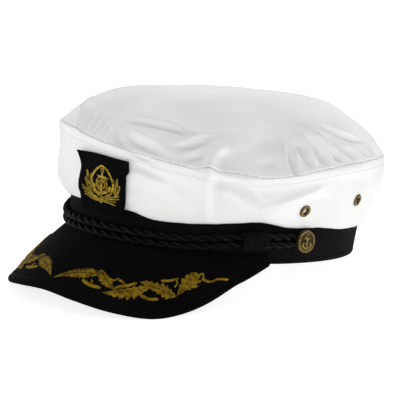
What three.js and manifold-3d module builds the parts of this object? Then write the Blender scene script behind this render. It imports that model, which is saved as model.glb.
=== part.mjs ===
// Captain hat with a soft white crown, a black band, a felt peak, two band cords and gold embroidery.
//
// It is drawn upright on the band's lower rim, front towards -Y and the wearer's left towards +X, and is
// then tipped to rest on the peak's two lobes and the back of the band. Lengths are in millimetres. A turn
// is in degrees round the head, 0 at the front and 90 at the wearer's left. A level runs up the cloth: 0 at
// the hem, 1 at the seam round the top, 2 at the middle of the top.
import * as THREE from 'three';
import { mergeVertices } from 'three/addons/utils/BufferGeometryUtils.js';
import Module from 'manifold-3d';

// Head opening and band
const headWidth = 174; // across the band's lower rim, outside
const headLength = 207; // front to back, outside
const ovalPower = 2.1; // 2 is an ellipse, more is squarer
const bandHeight = 30;
const bandWall = 2.4;
const bandFlare = 2.6; // the band's upper rim stands this far out of the lower one
const seatGap = 0.3; // between pieces sewn or pressed together

// Crown
const clothWall = 1.6;
const seamWidth = 202; // the crown's widest, at the seam round the top
const seamLength = 232;
const seamHeight = 70;
const seamSag = 13; // how far the seam droops where the cloth sags most
const hemHeight = 20;
const hemSag = 7;
const crownBelly = 2.3; // how quickly the side swells out above the hem
const domeRise = 31.5;
const domeShoulder = 6; // more is a flatter top with a rounder edge
const domeRound = 1.4; // more is a wider ledge inside the seam
const domeLean = 0.13; // share by which the top stands higher at the back
const domeSettle = 1.5; // how quickly the sag of the seam fades towards the middle
const foldDepth = 4;

// Peak
const peakHalfTurn = 69.5; // where the peak's corners meet the band
const peakRoot = 3.5; // height of its underside at the band
const peakReach = 45;
const peakDrop = 32;
const peakWall = 3.2; // measured straight up
const peakBow = 2.5; // how far it bows up between band and edge
const peakEdgeRound = 0.8;

// Band cords, keepers and side buttons
const cordDiameter = 4.8;
const cordPitch = 8.6; // from one strand to the next along the twist
const cordGroove = 0.1; // depth of the grooves as a share of the cord's radius
const cordLift = 11.4; // height midway between the two cords at the front
const cordRise = 4.4; // how far they climb from there to the buttons
const cordRiseFrom = 28; // degrees of turn between which they climb
const cordRiseTo = 68;
const cordSpacing = 5.1;
const cordPinch = 0.55; // share of its thickness that is left under a button
const keeperTurn = 62;
const keeperLength = 16;
const keeperWall = 0.8;
const buttonTurn = 82;
const buttonRadius = 7.4;
const buttonHeight = 3.4;
const buttonLift = 4.4; // between the band and the button's back
const shankRadius = 2.5;
const motifHeight = 10.5; // of the anchor on a button
const motifStroke = 0.9;

// Eyelets in the crown's side
const eyeletBore = 1.9;
const eyeletRadius = 4.1;
const eyeletWasher = 3.5; // radius of its washer inside the crown
const eyeletBarrel = 2.4;
const eyeletLip = 0.8;
const eyeletGap = 0.5; // clear of the faceted cloth on both sides and in its hole

// Badge
const patchShift = 5.5; // the badge sits this far off the middle, as on the real hat
const patchFoot = 22;
const patchTop = 59.5;
const patchFootWidth = 39;
const patchTopWidth = 43.5;
const patchWall = 1.8;
const patchGap = 0.5;
const patchCurl = 2; // how far its top corners stand away
const patchSeatLevel = 0.12; // below this level it hangs straight down

// Embroidery
const threadThickness = 1;
const threadGap = 0.35;
const threadFacet = 11; // longest edge of the embroidery's facets
const emblemFoot = 28;
const emblemWidth = 34;
const emblemHeight = 25;
const spraySpread = 2.15; // millimetres along the peak for each degree of turn
const sprayDepth = 49; // millimetres down the peak from band to edge

// Facets
const ringSteps = 72;
const peakSteps = 36;
const cordSteps = 76;
const roundSides = 12; // of an eyelet and of its hole
const buttonSides = 14;

// Rise of the seam and of the hem round the head, as shares of their sags
const seamRows = [
  { turn: -180, rise: 0 }, { turn: -90, rise: 0.02 }, { turn: -60, rise: 0.12 }, { turn: -32, rise: 0.3 },
  { turn: -12, rise: 0.14 }, { turn: 0, rise: -0.1 }, { turn: 22, rise: -0.54 }, { turn: 40, rise: -0.86 },
  { turn: 60, rise: -1.03 }, { turn: 72, rise: -0.86 }, { turn: 94, rise: -0.31 }, { turn: 115, rise: -0.12 },
  { turn: 150, rise: -0.04 }, { turn: 180, rise: 0 },
];
const hemRows = [
  { turn: -180, rise: 0 }, { turn: -110, rise: 0.1 }, { turn: -60, rise: 0.6 }, { turn: -14, rise: 1 },
  { turn: 14, rise: 0.9 }, { turn: 24, rise: 0.43 }, { turn: 44, rise: 0.6 }, { turn: 64, rise: 1 },
  { turn: 76, rise: 0.56 }, { turn: 90, rise: 0.5 }, { turn: 106, rise: 0.14 }, { turn: 180, rise: 0 },
];

// Soft folds of the cloth: where each one is, how wide in turn and level, how far it leans in turn for each
// level, and its height as a share of the fold depth
const foldRows = [
  { turn: 49, level: 0.78, width: 8, reach: 0.36, lean: 6, height: 0.8 },
  { turn: 62, level: 0.7, width: 8, reach: 0.25, lean: 25, height: -0.8 },
  { turn: 29, level: 0.6, width: 9, reach: 0.22, lean: 10, height: -0.7 },
  { turn: 30, level: 1.3, width: 22, reach: 0.16, lean: 0, height: -1 },
  { turn: -18, level: 1.12, width: 8, reach: 0.16, lean: 12, height: 0.6 },
  { turn: -4, level: 1.22, width: 7, reach: 0.14, lean: -10, height: -0.6 },
  { turn: 72, level: 1.3, width: 14, reach: 0.14, lean: 0, height: -0.6 },
  { turn: 84, level: 1.16, width: 6, reach: 0.12, lean: 14, height: 0.45 },
  { turn: 102, level: 1.2, width: 8, reach: 0.14, lean: 20, height: -0.5 },
  { turn: 140, level: 1.25, width: 12, reach: 0.2, lean: -20, height: -0.6 },
  { turn: -150, level: 1.15, width: 10, reach: 0.2, lean: 15, height: 0.6 },
  { turn: -135, level: 0.6, width: 12, reach: 0.3, lean: 20, height: -0.7 },
  { turn: -75, level: 1.22, width: 16, reach: 0.18, lean: 0, height: -0.8 },
  { turn: 165, level: 0.55, width: 10, reach: 0.3, lean: -15, height: -0.6 },
];

// Reach of the peak's edge out from the band and its drop below the rim, as shares of the peak's reach and
// drop, at shares of the turn to its corners
const peakRows = [
  { turn: -1, reach: 0.045, drop: 0.02 }, { turn: -0.863, reach: 0.14, drop: 0.28 },
  { turn: -0.791, reach: 0.235, drop: 0.39 }, { turn: -0.647, reach: 0.444, drop: 0.72 },
  { turn: -0.532, reach: 0.66, drop: 0.91 }, { turn: -0.432, reach: 0.8, drop: 1 },
  { turn: -0.288, reach: 0.944, drop: 0.95 }, { turn: -0.144, reach: 1.01, drop: 0.85 },
  { turn: 0, reach: 1, drop: 0.79 }, { turn: 0.144, reach: 1.01, drop: 0.85 },
  { turn: 0.288, reach: 0.944, drop: 0.95 }, { turn: 0.432, reach: 0.8, drop: 1 },
  { turn: 0.532, reach: 0.66, drop: 0.91 }, { turn: 0.647, reach: 0.444, drop: 0.72 },
  { turn: 0.791, reach: 0.235, drop: 0.39 }, { turn: 0.863, reach: 0.14, drop: 0.28 },
  { turn: 1, reach: 0.045, drop: 0.02 },
];

// Levels at which the cloth is faceted
const sideLevels = [0, 0.16, 0.4, 0.72, 1];
const topLevels = [1, 1.07, 1.15, 1.25, 1.4, 1.62, 2];

// Section of a button from the rim at its back to the middle of its face, as shares of its radius and height
const buttonRows = [
  { radius: 0.95, height: 0 }, { radius: 1, height: 0.25 }, { radius: 0.95, height: 0.65 },
  { radius: 0.84, height: 0.55 }, { radius: 0.5, height: 0.8 }, { radius: 0, height: 0.88 },
];

// One eyelet row serves both sides of the crown
const eyeletRows = [
  { name: 'front', turn: 79.2, level: 0.325 },
  { name: 'rear', turn: 104, level: 0.44 },
];

// Leaves and stems of one spray: turn in degrees, depth as a share of the way down the peak, width in mm
const leafRows = [
  { turn: 11.8, depth: 0.69, tipTurn: 1.4, tipDepth: 0.87, width: 7.5 },
  { turn: 19.4, depth: 0.78, tipTurn: 12.2, tipDepth: 0.57, width: 8 },
  { turn: 30.5, depth: 0.69, tipTurn: 17, tipDepth: 0.86, width: 10 },
  { turn: 37, depth: 0.81, tipTurn: 25, tipDepth: 0.6, width: 9 },
  { turn: 35.5, depth: 0.79, tipTurn: 43.4, tipDepth: 0.51, width: 13 },
];
const stemRows = [
  [{ turn: 9.8, depth: 0.72 }, { turn: 19.4, depth: 0.775 }, { turn: 30, depth: 0.7 },
    { turn: 37, depth: 0.8 }, { turn: 44, depth: 0.62 }, { turn: 47, depth: 0.69 },
    { turn: 50, depth: 0.74 }, { turn: 53.5, depth: 0.82 }],
  [{ turn: 10, depth: 0.83 }, { turn: 13.4, depth: 0.82 }, { turn: 17.9, depth: 0.77 }],
  [{ turn: 19.2, depth: 0.76 }, { turn: 24.4, depth: 0.64 }],
  [{ turn: 25, depth: 0.77 }, { turn: 32, depth: 0.83 }],
  [{ turn: 31.2, depth: 0.54 }, { turn: 36.4, depth: 0.53 }, { turn: 40, depth: 0.58 }],
];
const stemWidth = 1.7;

// Laurel leaves of the badge on one side: foot, direction in degrees up from sideways, and length, as shares
// of the emblem's width and height
const laurelRows = [
  { across: 0.24, up: 0.14, aim: 20, length: 0.3 }, { across: 0.29, up: 0.26, aim: 42, length: 0.27 },
  { across: 0.32, up: 0.38, aim: 58, length: 0.26 }, { across: 0.34, up: 0.52, aim: 74, length: 0.25 },
];
const laurelWidth = 2.8;
const emblemStroke = 1.5;

const radians = THREE.MathUtils.degToRad;
const wasm = await Module();
wasm.setup();

// Smooth value of one column of a table at a place between its rows
function follow(rows, key, column, at) {
  const last = rows.length - 1;
  let i = 0;
  while (i < last - 1 && at > rows[i + 1][key]) i += 1;
  const slope = (j) => {
    const before = rows[Math.max(j - 1, 0)];
    const after = rows[Math.min(j + 1, last)];
    return (after[column] - before[column]) / (after[key] - before[key]);
  };
  const span = rows[i + 1][key] - rows[i][key];
  const t = THREE.MathUtils.clamp((at - rows[i][key]) / span, 0, 1);
  const ease = t * t * (3 - 2 * t);
  const level = rows[i][column] * (1 - ease) + rows[i + 1][column] * ease;
  return level + span * t * (1 - t) * (slope(i) * (1 - t) - slope(i + 1) * t);
}

// Point of a level oval, with its front at turn 0
function oval(halfWidth, halfLength, turn) {
  const side = Math.sin(radians(turn));
  const front = Math.cos(radians(turn));
  const power = 2 / ovalPower;
  const x = halfWidth * Math.sign(side) * Math.abs(side) ** power;
  const y = -halfLength * Math.sign(front) * Math.abs(front) ** power;
  return new THREE.Vector3(x, y, 0);
}

// Turn at which the seam's oval is this far to one side of the middle of the front
function turnAcross(across) {
  const share = Math.abs(across) / (seamWidth / 2);
  return Math.sign(across) * THREE.MathUtils.radToDeg(Math.asin(share ** (ovalPower / 2)));
}

// Level direction out of the head at a turn
function outward(turn) {
  const point = oval(headWidth / 2, headLength / 2, turn);
  const pull = (value, half) => Math.sign(value) * Math.abs(value / half) ** (ovalPower - 1) / half;
  return new THREE.Vector3(pull(point.x, headWidth / 2), pull(point.y, headLength / 2), 0).normalize();
}

function bandFace(turn, height) {
  const spread = bandFlare * height / bandHeight;
  return oval(headWidth / 2, headLength / 2, turn).addScaledVector(outward(turn), spread).setZ(height);
}

// Bare form of the crown's outside, before its folds
function crownForm(turn, level) {
  const hem = hemHeight + hemSag * follow(hemRows, 'turn', 'rise', turn);
  const seam = seamHeight + seamSag * follow(seamRows, 'turn', 'rise', turn);
  if (level <= 1) {
    const swell = 1 - (1 - level) ** crownBelly;
    const foot = bandFace(turn, hem).addScaledVector(outward(turn), seatGap + clothWall);
    return foot.lerp(oval(seamWidth / 2, seamLength / 2, turn), swell).setZ(hem + (seam - hem) * level);
  }
  const spread = 2 - level;
  const point = oval(spread * seamWidth / 2, spread * seamLength / 2, turn);
  const lean = 1 + domeLean * point.y / (seamLength / 2);
  const rise = domeRise * lean * (1 - spread ** domeShoulder) ** domeRound;
  return point.setZ(THREE.MathUtils.lerp(seamHeight, seam, spread ** domeSettle) + rise);
}

function crownNormal(turn, level) {
  const stepTurn = 0.5;
  const stepLevel = 0.02;
  if (level > 2 - stepLevel) return new THREE.Vector3(0, 0, 1);
  const round = crownForm(turn + stepTurn, level).sub(crownForm(turn - stepTurn, level));
  const up = crownForm(turn, level + stepLevel).sub(crownForm(turn, level - stepLevel));
  return round.cross(up).normalize();
}

function foldHeight(turn, level) {
  let height = 0;
  for (const row of foldRows) {
    const alongTurn = (turn - row.turn - row.lean * (level - row.level)) / row.width;
    const alongLevel = (level - row.level) / row.reach;
    height += foldDepth * row.height * Math.exp(-alongTurn * alongTurn - alongLevel * alongLevel);
  }
  return height;
}

// Point of the folded crown, this far inside its outer face
function crownPoint(turn, level, inset) {
  const point = crownForm(turn, level);
  return point.addScaledVector(crownNormal(turn, level), foldHeight(turn, level) - inset);
}

// Closed body through sections. Each section is a loop of points, up its outer side and down its inner one.
// A ring joins its last section to its first, and an open sweep is closed by a strip across each end.
function sweep(sections, ring) {
  const corners = [];
  const triangle = (a, b, c) => {
    const apart = a.distanceTo(b) > 1e-4 && b.distanceTo(c) > 1e-4 && c.distanceTo(a) > 1e-4;
    if (apart) corners.push(a, b, c);
  };
  const quad = (a, b, c, d) => {
    triangle(a, b, c);
    triangle(a, c, d);
  };
  const count = sections[0].length;
  const spans = ring ? sections.length : sections.length - 1;
  for (let i = 0; i < spans; i += 1) {
    const here = sections[i];
    const next = sections[(i + 1) % sections.length];
    for (let j = 0; j < count; j += 1) {
      const k = (j + 1) % count;
      quad(here[j], next[j], next[k], here[k]);
    }
  }
  const cap = (loop) => {
    for (let low = 0, high = count - 1; high - low > 1; low += 1, high -= 1) {
      if (high - low === 2) triangle(loop[low], loop[low + 1], loop[high]);
      else quad(loop[low], loop[low + 1], loop[high - 1], loop[high]);
    }
  };
  if (!ring) {
    cap(sections[0]);
    cap([...sections.at(-1)].reverse());
  }
  const geometry = new THREE.BufferGeometry().setFromPoints(corners);
  geometry.computeVertexNormals();
  return geometry;
}

function toSolid(geometry) {
  const bare = geometry.clone().deleteAttribute('normal').deleteAttribute('uv');
  const merged = mergeVertices(bare, 1e-4);
  const vertProperties = new Float32Array(merged.attributes.position.array);
  const triVerts = new Uint32Array(merged.index.array);
  return new wasm.Manifold(new wasm.Mesh({ numProp: 3, vertProperties, triVerts }));
}

function toGeometry(solid) {
  const mesh = solid.getMesh();
  const indexed = new THREE.BufferGeometry();
  indexed.setAttribute('position', new THREE.BufferAttribute(mesh.vertProperties, 3));
  indexed.setIndex(new THREE.BufferAttribute(mesh.triVerts, 1));
  const geometry = indexed.toNonIndexed();
  geometry.computeVertexNormals();
  return geometry;
}

function turnsBetween(from, to, steps) {
  return Array.from({ length: steps + 1 }, (_, i) => from + (to - from) * i / steps);
}

const ringTurns = turnsBetween(-180, 180, ringSteps).slice(0, -1);

// Cloth between two levels, its rims drawn back along the cloth by half the seam's gap
function clothRing(levels, lowerGap, upperGap) {
  const sheet = (turn, inset) => levels.map((level, i) => {
    const point = crownPoint(turn, level, inset);
    const gap = (i === 0 ? lowerGap : 0) - (i === levels.length - 1 ? upperGap : 0);
    const along = crownForm(turn, level + 0.01).sub(crownForm(turn, level - 0.01)).normalize();
    return gap === 0 ? point : point.addScaledVector(along, gap);
  });
  return sweep(ringTurns.map((turn) => [...sheet(turn, 0), ...sheet(turn, clothWall).reverse()]), true);
}

function eyeletSeat(turn, level) {
  const axis = new THREE.Vector3(0, 1, 0);
  const facing = new THREE.Quaternion().setFromUnitVectors(axis, crownNormal(turn, level));
  return { point: crownPoint(turn, level, 0), facing };
}

function crownSide() {
  let wall = toSolid(clothRing(sideLevels, 0, seatGap / 2));
  for (const row of eyeletRows) {
    for (const side of [-1, 1]) {
      const { point, facing } = eyeletSeat(side * row.turn, row.level);
      const holeRadius = eyeletBarrel + eyeletGap;
      const drill = new THREE.CylinderGeometry(holeRadius, holeRadius, clothWall * 6, roundSides);
      drill.applyQuaternion(facing).translate(point.x, point.y, point.z);
      wall = wall.subtract(toSolid(drill));
    }
  }
  return toGeometry(wall);
}

function crownTop() {
  return clothRing(topLevels, seatGap / 2, 0);
}

function band() {
  return sweep(ringTurns.map((turn) => {
    const inner = outward(turn).multiplyScalar(-bandWall);
    const low = bandFace(turn, 0);
    const high = bandFace(turn, bandHeight);
    return [low, high, high.clone().add(inner), low.clone().add(inner)];
  }), true);
}

// Point of the peak's underside, its depth a share of the way from band to edge
function peakPoint(turn, depth) {
  const share = turn / peakHalfTurn;
  const reach = peakReach * follow(peakRows, 'turn', 'reach', share);
  const drop = peakDrop * follow(peakRows, 'turn', 'drop', share);
  const root = bandFace(turn, peakRoot + peakWall).addScaledVector(outward(turn), seatGap);
  const point = root.addScaledVector(outward(turn), reach * depth);
  return point.setZ(peakRoot - (drop + peakRoot) * depth + 4 * peakBow * depth * (1 - depth));
}

function peak() {
  const depths = [0, 0.2, 0.45, 0.72, 1];
  return sweep(turnsBetween(-peakHalfTurn, peakHalfTurn, peakSteps).map((turn) => {
    const under = depths.map((depth) => peakPoint(turn, depth));
    const over = under.map((point) => point.clone().setZ(point.z + peakWall)).reverse();
    const rim = under.at(-1).clone().lerp(over[0], 0.5).addScaledVector(outward(turn), peakEdgeRound);
    return [...under, rim, ...over];
  }), false);
}

// The keeper's back wall passes between the cords and the band
const cordStandoff = seatGap + keeperWall + seatGap + cordDiameter / 2;
const cordEndTurn = buttonTurn - turnFor(shankRadius + 2 * seatGap, buttonTurn);

// Degrees of turn that a length takes up along the band at a turn
function turnFor(length, turn) {
  const step = bandFace(turn + 0.5, cordLift).distanceTo(bandFace(turn - 0.5, cordLift));
  return length / step;
}

// Height midway between the two cords at a turn
function cordHeight(turn) {
  return cordLift + cordRise * THREE.MathUtils.smoothstep(Math.abs(turn), cordRiseFrom, cordRiseTo);
}

function bandCord(side) {
  const radius = cordDiameter / 2 / (1 + cordGroove);
  const pinchTurns = turnFor(buttonRadius, buttonTurn);
  let along = 0;
  let before = null;
  const sections = turnsBetween(-cordEndTurn, cordEndTurn, cordSteps).map((turn) => {
    const out = outward(turn);
    const free = THREE.MathUtils.smoothstep((cordEndTurn - Math.abs(turn)) / pinchTurns, 0.6, 1.6);
    const thick = THREE.MathUtils.lerp(cordPinch, 1, free);
    const standoff = THREE.MathUtils.lerp(seatGap + thick * cordDiameter / 2, cordStandoff, free);
    const height = cordHeight(turn) + side * cordSpacing / 2;
    const centre = bandFace(turn, height).addScaledVector(out, standoff);
    along += before ? centre.distanceTo(before) : 0;
    before = centre;
    return turnsBetween(-30, 270, 5).map((around) => {
      const twist = 1 + cordGroove * Math.cos(2 * (radians(around) - Math.PI * along / cordPitch));
      const point = centre.clone().addScaledVector(out, radius * twist * thick * Math.cos(radians(around)));
      return point.setZ(height + radius * twist * Math.sin(radians(around)));
    });
  });
  return sweep(sections, false);
}

// Sleeve round both cords, with rounded ends above and below
function keeper(turn) {
  const halfTurn = turnFor(keeperLength / 2, turn);
  const turns = turnsBetween(turn + halfTurn, turn - halfTurn, 4);
  const line = (around, half, inset) => turns.map((place) => {
    const round = cordDiameter / 2 + seatGap + keeperWall - inset;
    const out = outward(place).multiplyScalar(cordStandoff + round * Math.cos(radians(around)));
    const rise = round * Math.sin(radians(around)) + half * cordSpacing / 2;
    return bandFace(place, cordHeight(place)).add(out).setZ(cordHeight(place) + rise);
  });
  const section = (around, half) => [...line(around, half, 0), ...line(around, half, keeperWall).reverse()];
  const upper = [0, 40, 80, 100, 140, 180].map((around) => section(around, 1));
  const lower = [180, 220, 260, 280, 320, 360].map((around) => section(around, -1));
  return sweep([...upper, ...lower], true);
}

function outlineShape(points) {
  return new THREE.Shape(points.map(([x, y]) => new THREE.Vector2(x, y)));
}

// Flat stroke of one width along a path of points
function stroke(path, width) {
  const side = (sign) => path.map(([x, y], i) => {
    const [fromX, fromY] = path[Math.max(i - 1, 0)];
    const [toX, toY] = path[Math.min(i + 1, path.length - 1)];
    const length = Math.hypot(toX - fromX, toY - fromY);
    return [x - sign * (toY - fromY) / length * width / 2, y + sign * (toX - fromX) / length * width / 2];
  });
  return outlineShape([...side(-1), ...side(1).reverse()]);
}

function arcPath(x, y, radiusX, radiusY, from, to, steps) {
  return turnsBetween(from, to, steps).map((angle) => (
    [x + radiusX * Math.cos(radians(angle)), y + radiusY * Math.sin(radians(angle))]
  ));
}

function ringShape(x, y, radiusX, radiusY, width, steps) {
  const loop = (grow) => arcPath(x, y, radiusX + grow, radiusY + grow, 0, 360, steps).slice(0, -1);
  const shape = outlineShape(loop(width / 2));
  shape.holes.push(outlineShape(loop(-width / 2)));
  return shape;
}

// Leaf from its foot to its tip, with notched edges
function leafShape([footX, footY], [tipX, tipY], width, notches) {
  const length = Math.hypot(tipX - footX, tipY - footY);
  const alongX = (tipX - footX) / length;
  const alongY = (tipY - footY) / length;
  const steps = 2 * notches + 2;
  const side = (sign) => turnsBetween(0, 1, steps).slice(1, -1).map((share, i) => {
    const notch = i % 2 === 0 ? 1 : 0.68;
    const out = sign * notch * width / 2 * Math.sin(Math.PI * share) ** 0.6;
    const lift = (share + (i % 2 === 0 ? 0.5 / steps : 0)) * length;
    return [footX + alongX * lift - alongY * out, footY + alongY * lift + alongX * out];
  });
  return outlineShape([[footX, footY], ...side(-1), [tipX, tipY], ...side(1).reverse()]);
}

function fuseShapes(shapes, depth) {
  const plates = shapes.map((shape) => (
    toSolid(new THREE.ExtrudeGeometry(shape, { depth, bevelEnabled: false, curveSegments: 1 }))
  ));
  return toGeometry(plates.reduce((whole, plate) => whole.add(plate)));
}

// Splits the longest edge of each triangle until none is longer than the limit
function splitLong(geometry, limit) {
  const place = geometry.attributes.position;
  const open = [];
  for (let i = 0; i < place.count; i += 3) {
    open.push([0, 1, 2].map((j) => new THREE.Vector3().fromBufferAttribute(place, i + j)));
  }
  const done = [];
  while (open.length > 0) {
    const [a, b, c] = open.pop();
    const lengths = [a.distanceTo(b), b.distanceTo(c), c.distanceTo(a)];
    const longest = lengths.indexOf(Math.max(...lengths));
    if (lengths[longest] <= limit) done.push(a, b, c);
    else {
      const [p, q, r] = [[a, b, c], [b, c, a], [c, a, b]][longest];
      const middle = p.clone().add(q).multiplyScalar(0.5);
      open.push([p, middle, r], [middle, q, r]);
    }
  }
  return new THREE.BufferGeometry().setFromPoints(done);
}

// Bends flat work onto a surface, turned over where the surface is mirrored
function wrap(flat, surface, mirrored) {
  const place = flat.attributes.position;
  const corners = [];
  for (let i = 0; i < place.count; i += 3) {
    const order = mirrored ? [i, i + 2, i + 1] : [i, i + 1, i + 2];
    for (const j of order) corners.push(surface(place.getX(j), place.getY(j), place.getZ(j)));
  }
  const geometry = new THREE.BufferGeometry().setFromPoints(corners);
  geometry.computeVertexNormals();
  return geometry;
}

// Fouled-anchor motif, drawn to unit height with its foot at the origin
function anchorShapes(height, width) {
  const at = (x, y) => [x * height, y * height];
  const crown = arcPath(0, 0.36 * height, 0.32 * height, 0.32 * height, 200, 340, 6);
  return [
    stroke([at(0, 0.06), at(0, 0.84)], width * 1.1),
    ringShape(0, 0.9 * height, 0.08 * height, 0.08 * height, width * 0.8, 8),
    stroke([at(-0.2, 0.74), at(0.2, 0.74)], width),
    stroke(crown, width),
    outlineShape([at(-0.42, 0.24), at(-0.2, 0.22), at(-0.34, 0.46)]),
    outlineShape([at(0.2, 0.22), at(0.42, 0.24), at(0.34, 0.46)]),
  ];
}

function button() {
  const face = buttonRows.map((row) => [buttonRadius * row.radius, buttonLift + buttonHeight * row.height]);
  const outline = [[0, seatGap], [shankRadius, seatGap], [shankRadius, buttonLift], ...face];
  const disc = new THREE.LatheGeometry(outline.map(([r, y]) => new THREE.Vector2(r, y)), buttonSides);
  const motif = fuseShapes(anchorShapes(motifHeight, motifStroke), buttonHeight / 2);
  motif.rotateX(-Math.PI / 2).translate(0, buttonLift + buttonHeight / 2, motifHeight / 2);
  return toGeometry(toSolid(disc).add(toSolid(motif)));
}

// The button's own +Y points away from the band, and its +Z down
function buttonPlace(turn) {
  const out = outward(turn);
  const down = new THREE.Vector3(0, 0, -1);
  const basis = new THREE.Matrix4().makeBasis(out.clone().cross(down), out, down);
  const facing = new THREE.Quaternion().setFromRotationMatrix(basis);
  return { point: bandFace(turn, cordHeight(turn)), facing };
}

function eyelet() {
  const back = -clothWall - eyeletGap;
  const outline = [
    [eyeletBore, eyeletGap + eyeletLip], [eyeletBore, back - eyeletLip], [eyeletWasher, back - eyeletLip],
    [eyeletWasher, back], [eyeletBarrel, back], [eyeletBarrel, eyeletGap], [eyeletRadius, eyeletGap],
    [eyeletRadius - eyeletLip, eyeletGap + eyeletLip],
  ];
  outline.push(outline[0]);
  return new THREE.LatheGeometry(outline.map(([r, y]) => new THREE.Vector2(r, y)), roundSides);
}

// Point this far in front of the crown's face, across and up the badge
function badgePoint(across, height, lift) {
  const turn = turnAcross(across + patchShift);
  const hem = crownForm(turn, 0).z;
  const level = (height - hem) / (crownForm(turn, 1).z - hem);
  const seat = crownPoint(turn, Math.max(level, patchSeatLevel), 0);
  const up = (height - patchFoot) / (patchTop - patchFoot);
  const curl = patchCurl * Math.abs(across / (patchTopWidth / 2)) ** 3 * Math.max(up, 0) ** 3;
  return seat.addScaledVector(outward(turn), lift + curl).setZ(height);
}

function badgePatch() {
  const heights = turnsBetween(patchFoot, patchTop, 7);
  return sweep(turnsBetween(-0.5, 0.5, 8).map((share) => {
    const face = (lift) => heights.map((height, i) => {
      const width = THREE.MathUtils.lerp(patchFootWidth, patchTopWidth, (i / (heights.length - 1)) ** 4);
      return badgePoint(share * width, height, lift);
    });
    return [...face(patchGap + patchWall), ...face(patchGap).reverse()];
  }), false);
}

// Copy of a flat shape, this much higher
function raised(shape, lift) {
  const move = (point) => [point.x, point.y + lift];
  const copy = outlineShape(shape.getPoints(1).map(move));
  copy.holes = shape.holes.map((hole) => outlineShape(hole.getPoints(1).map(move)));
  return copy;
}

function badgeEmblem() {
  const half = emblemWidth / 2;
  const tall = emblemHeight;
  const anchorLift = 0.12 * tall;
  const anchor = anchorShapes(0.72 * tall, emblemStroke).map((shape) => raised(shape, anchorLift));
  const arch = [
    ...arcPath(0, 0.42 * tall, 0.5 * half, 0.4 * tall, 270, 390, 7),
    [0.24 * half, 0.86 * tall], [0, 0.98 * tall],
  ];
  const mirrored = arch.map(([x, y]) => [-x, y]);
  const sprays = [];
  for (const side of [-1, 1]) {
    for (const row of laurelRows) {
      const foot = [side * row.across * emblemWidth, row.up * tall];
      const length = row.length * tall;
      const reach = side * length * Math.cos(radians(row.aim));
      const tip = [foot[0] + reach, foot[1] + length * Math.sin(radians(row.aim))];
      sprays.push(leafShape(foot, tip, laurelWidth, 1));
    }
    sprays.push(stroke([[0, 0.04 * tall], [side * 0.4 * half, 0.1 * tall], [side * 0.62 * half, 0.26 * tall],
      [side * 0.7 * half, 0.6 * tall]], emblemStroke));
    for (const rise of [0, 0.09]) {
      sprays.push(stroke([[0, 0.06 * tall], [side * 0.68 * half, rise * tall]], emblemStroke * 0.8));
    }
  }
  const flat = fuseShapes([stroke(arch, emblemStroke), stroke(mirrored.reverse(), emblemStroke), ...sprays,
    ...anchor], threadThickness);
  return wrap(splitLong(flat, threadFacet), (x, y, z) => (
    badgePoint(x, emblemFoot + y, patchGap + patchWall + threadGap + z)
  ), false);
}

// Point above the peak's upper face, from flat millimetres along and down the peak
function sprayPoint(side, x, y, lift) {
  const turn = side * x / spraySpread;
  const depth = y / sprayDepth;
  const step = 0.02;
  const down = peakPoint(turn, depth + step).sub(peakPoint(turn, depth - step));
  const round = peakPoint(turn + 1, depth).sub(peakPoint(turn - 1, depth));
  const normal = down.cross(round).normalize();
  const point = peakPoint(turn, depth);
  return point.setZ(point.z + peakWall).addScaledVector(normal, threadGap + lift);
}

function leafSpray(side) {
  const flatPoint = (turn, depth) => [turn * spraySpread, depth * sprayDepth];
  const leaves = leafRows.map((row) => (
    leafShape(flatPoint(row.turn, row.depth), flatPoint(row.tipTurn, row.tipDepth), row.width, 3)
  ));
  const stems = stemRows.map((row) => (
    stroke(row.map(({ turn, depth }) => flatPoint(turn, depth)), stemWidth)
  ));
  const flat = splitLong(fuseShapes([...leaves, ...stems], threadThickness), threadFacet);
  return wrap(flat, (x, y, z) => sprayPoint(side, x, y, z), side > 0);
}

// Angle at which the peak's edge and the back of the band's rim reach one level surface
function restAngle() {
  const tilts = turnsBetween(-peakHalfTurn, peakHalfTurn, peakSteps).map((turn) => {
    const edge = peakPoint(turn, 1);
    return Math.atan2(-edge.z, headLength / 2 - edge.y);
  });
  return Math.max(...tilts);
}

const whiteCotton = new THREE.MeshStandardMaterial({ color: 0xf1f2f0, roughness: 0.85, metalness: 0 });
const blackBand = new THREE.MeshStandardMaterial({ color: 0x121314, roughness: 0.8, metalness: 0 });
const blackFelt = new THREE.MeshStandardMaterial({ color: 0x0c0c0e, roughness: 0.95, metalness: 0 });
const blackCord = new THREE.MeshStandardMaterial({ color: 0x0e0e0f, roughness: 0.6, metalness: 0 });
const goldThread = new THREE.MeshStandardMaterial({ color: 0xa67c1a, roughness: 0.5, metalness: 0.2 });
const agedBrass = new THREE.MeshStandardMaterial({ color: 0x7a6a3c, roughness: 0.4, metalness: 1 });

const hat = new THREE.Group();

function addPiece(name, geometry, material, place) {
  const piece = new THREE.Mesh(geometry, material);
  piece.name = name;
  if (place) {
    piece.position.copy(place.point);
    piece.quaternion.copy(place.facing);
  }
  hat.add(piece);
}

addPiece('band', band(), blackBand);
addPiece('crown_side', crownSide(), whiteCotton);
addPiece('crown_top', crownTop(), whiteCotton);
addPiece('peak', peak(), blackFelt);
addPiece('cord_upper', bandCord(1), blackCord);
addPiece('cord_lower', bandCord(-1), blackCord);
for (const [name, side] of [['left', 1], ['right', -1]]) {
  addPiece(`keeper_${name}`, keeper(side * keeperTurn), blackCord);
  addPiece(`button_${name}`, button(), agedBrass, buttonPlace(side * buttonTurn));
  for (const row of eyeletRows) {
    addPiece(`eyelet_${name}_${row.name}`, eyelet(), agedBrass, eyeletSeat(side * row.turn, row.level));
  }
  addPiece(`leaf_spray_${name}`, leafSpray(side), goldThread);
}
addPiece('badge_patch', badgePatch(), blackFelt);
addPiece('badge_emblem', badgeEmblem(), goldThread);

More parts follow.
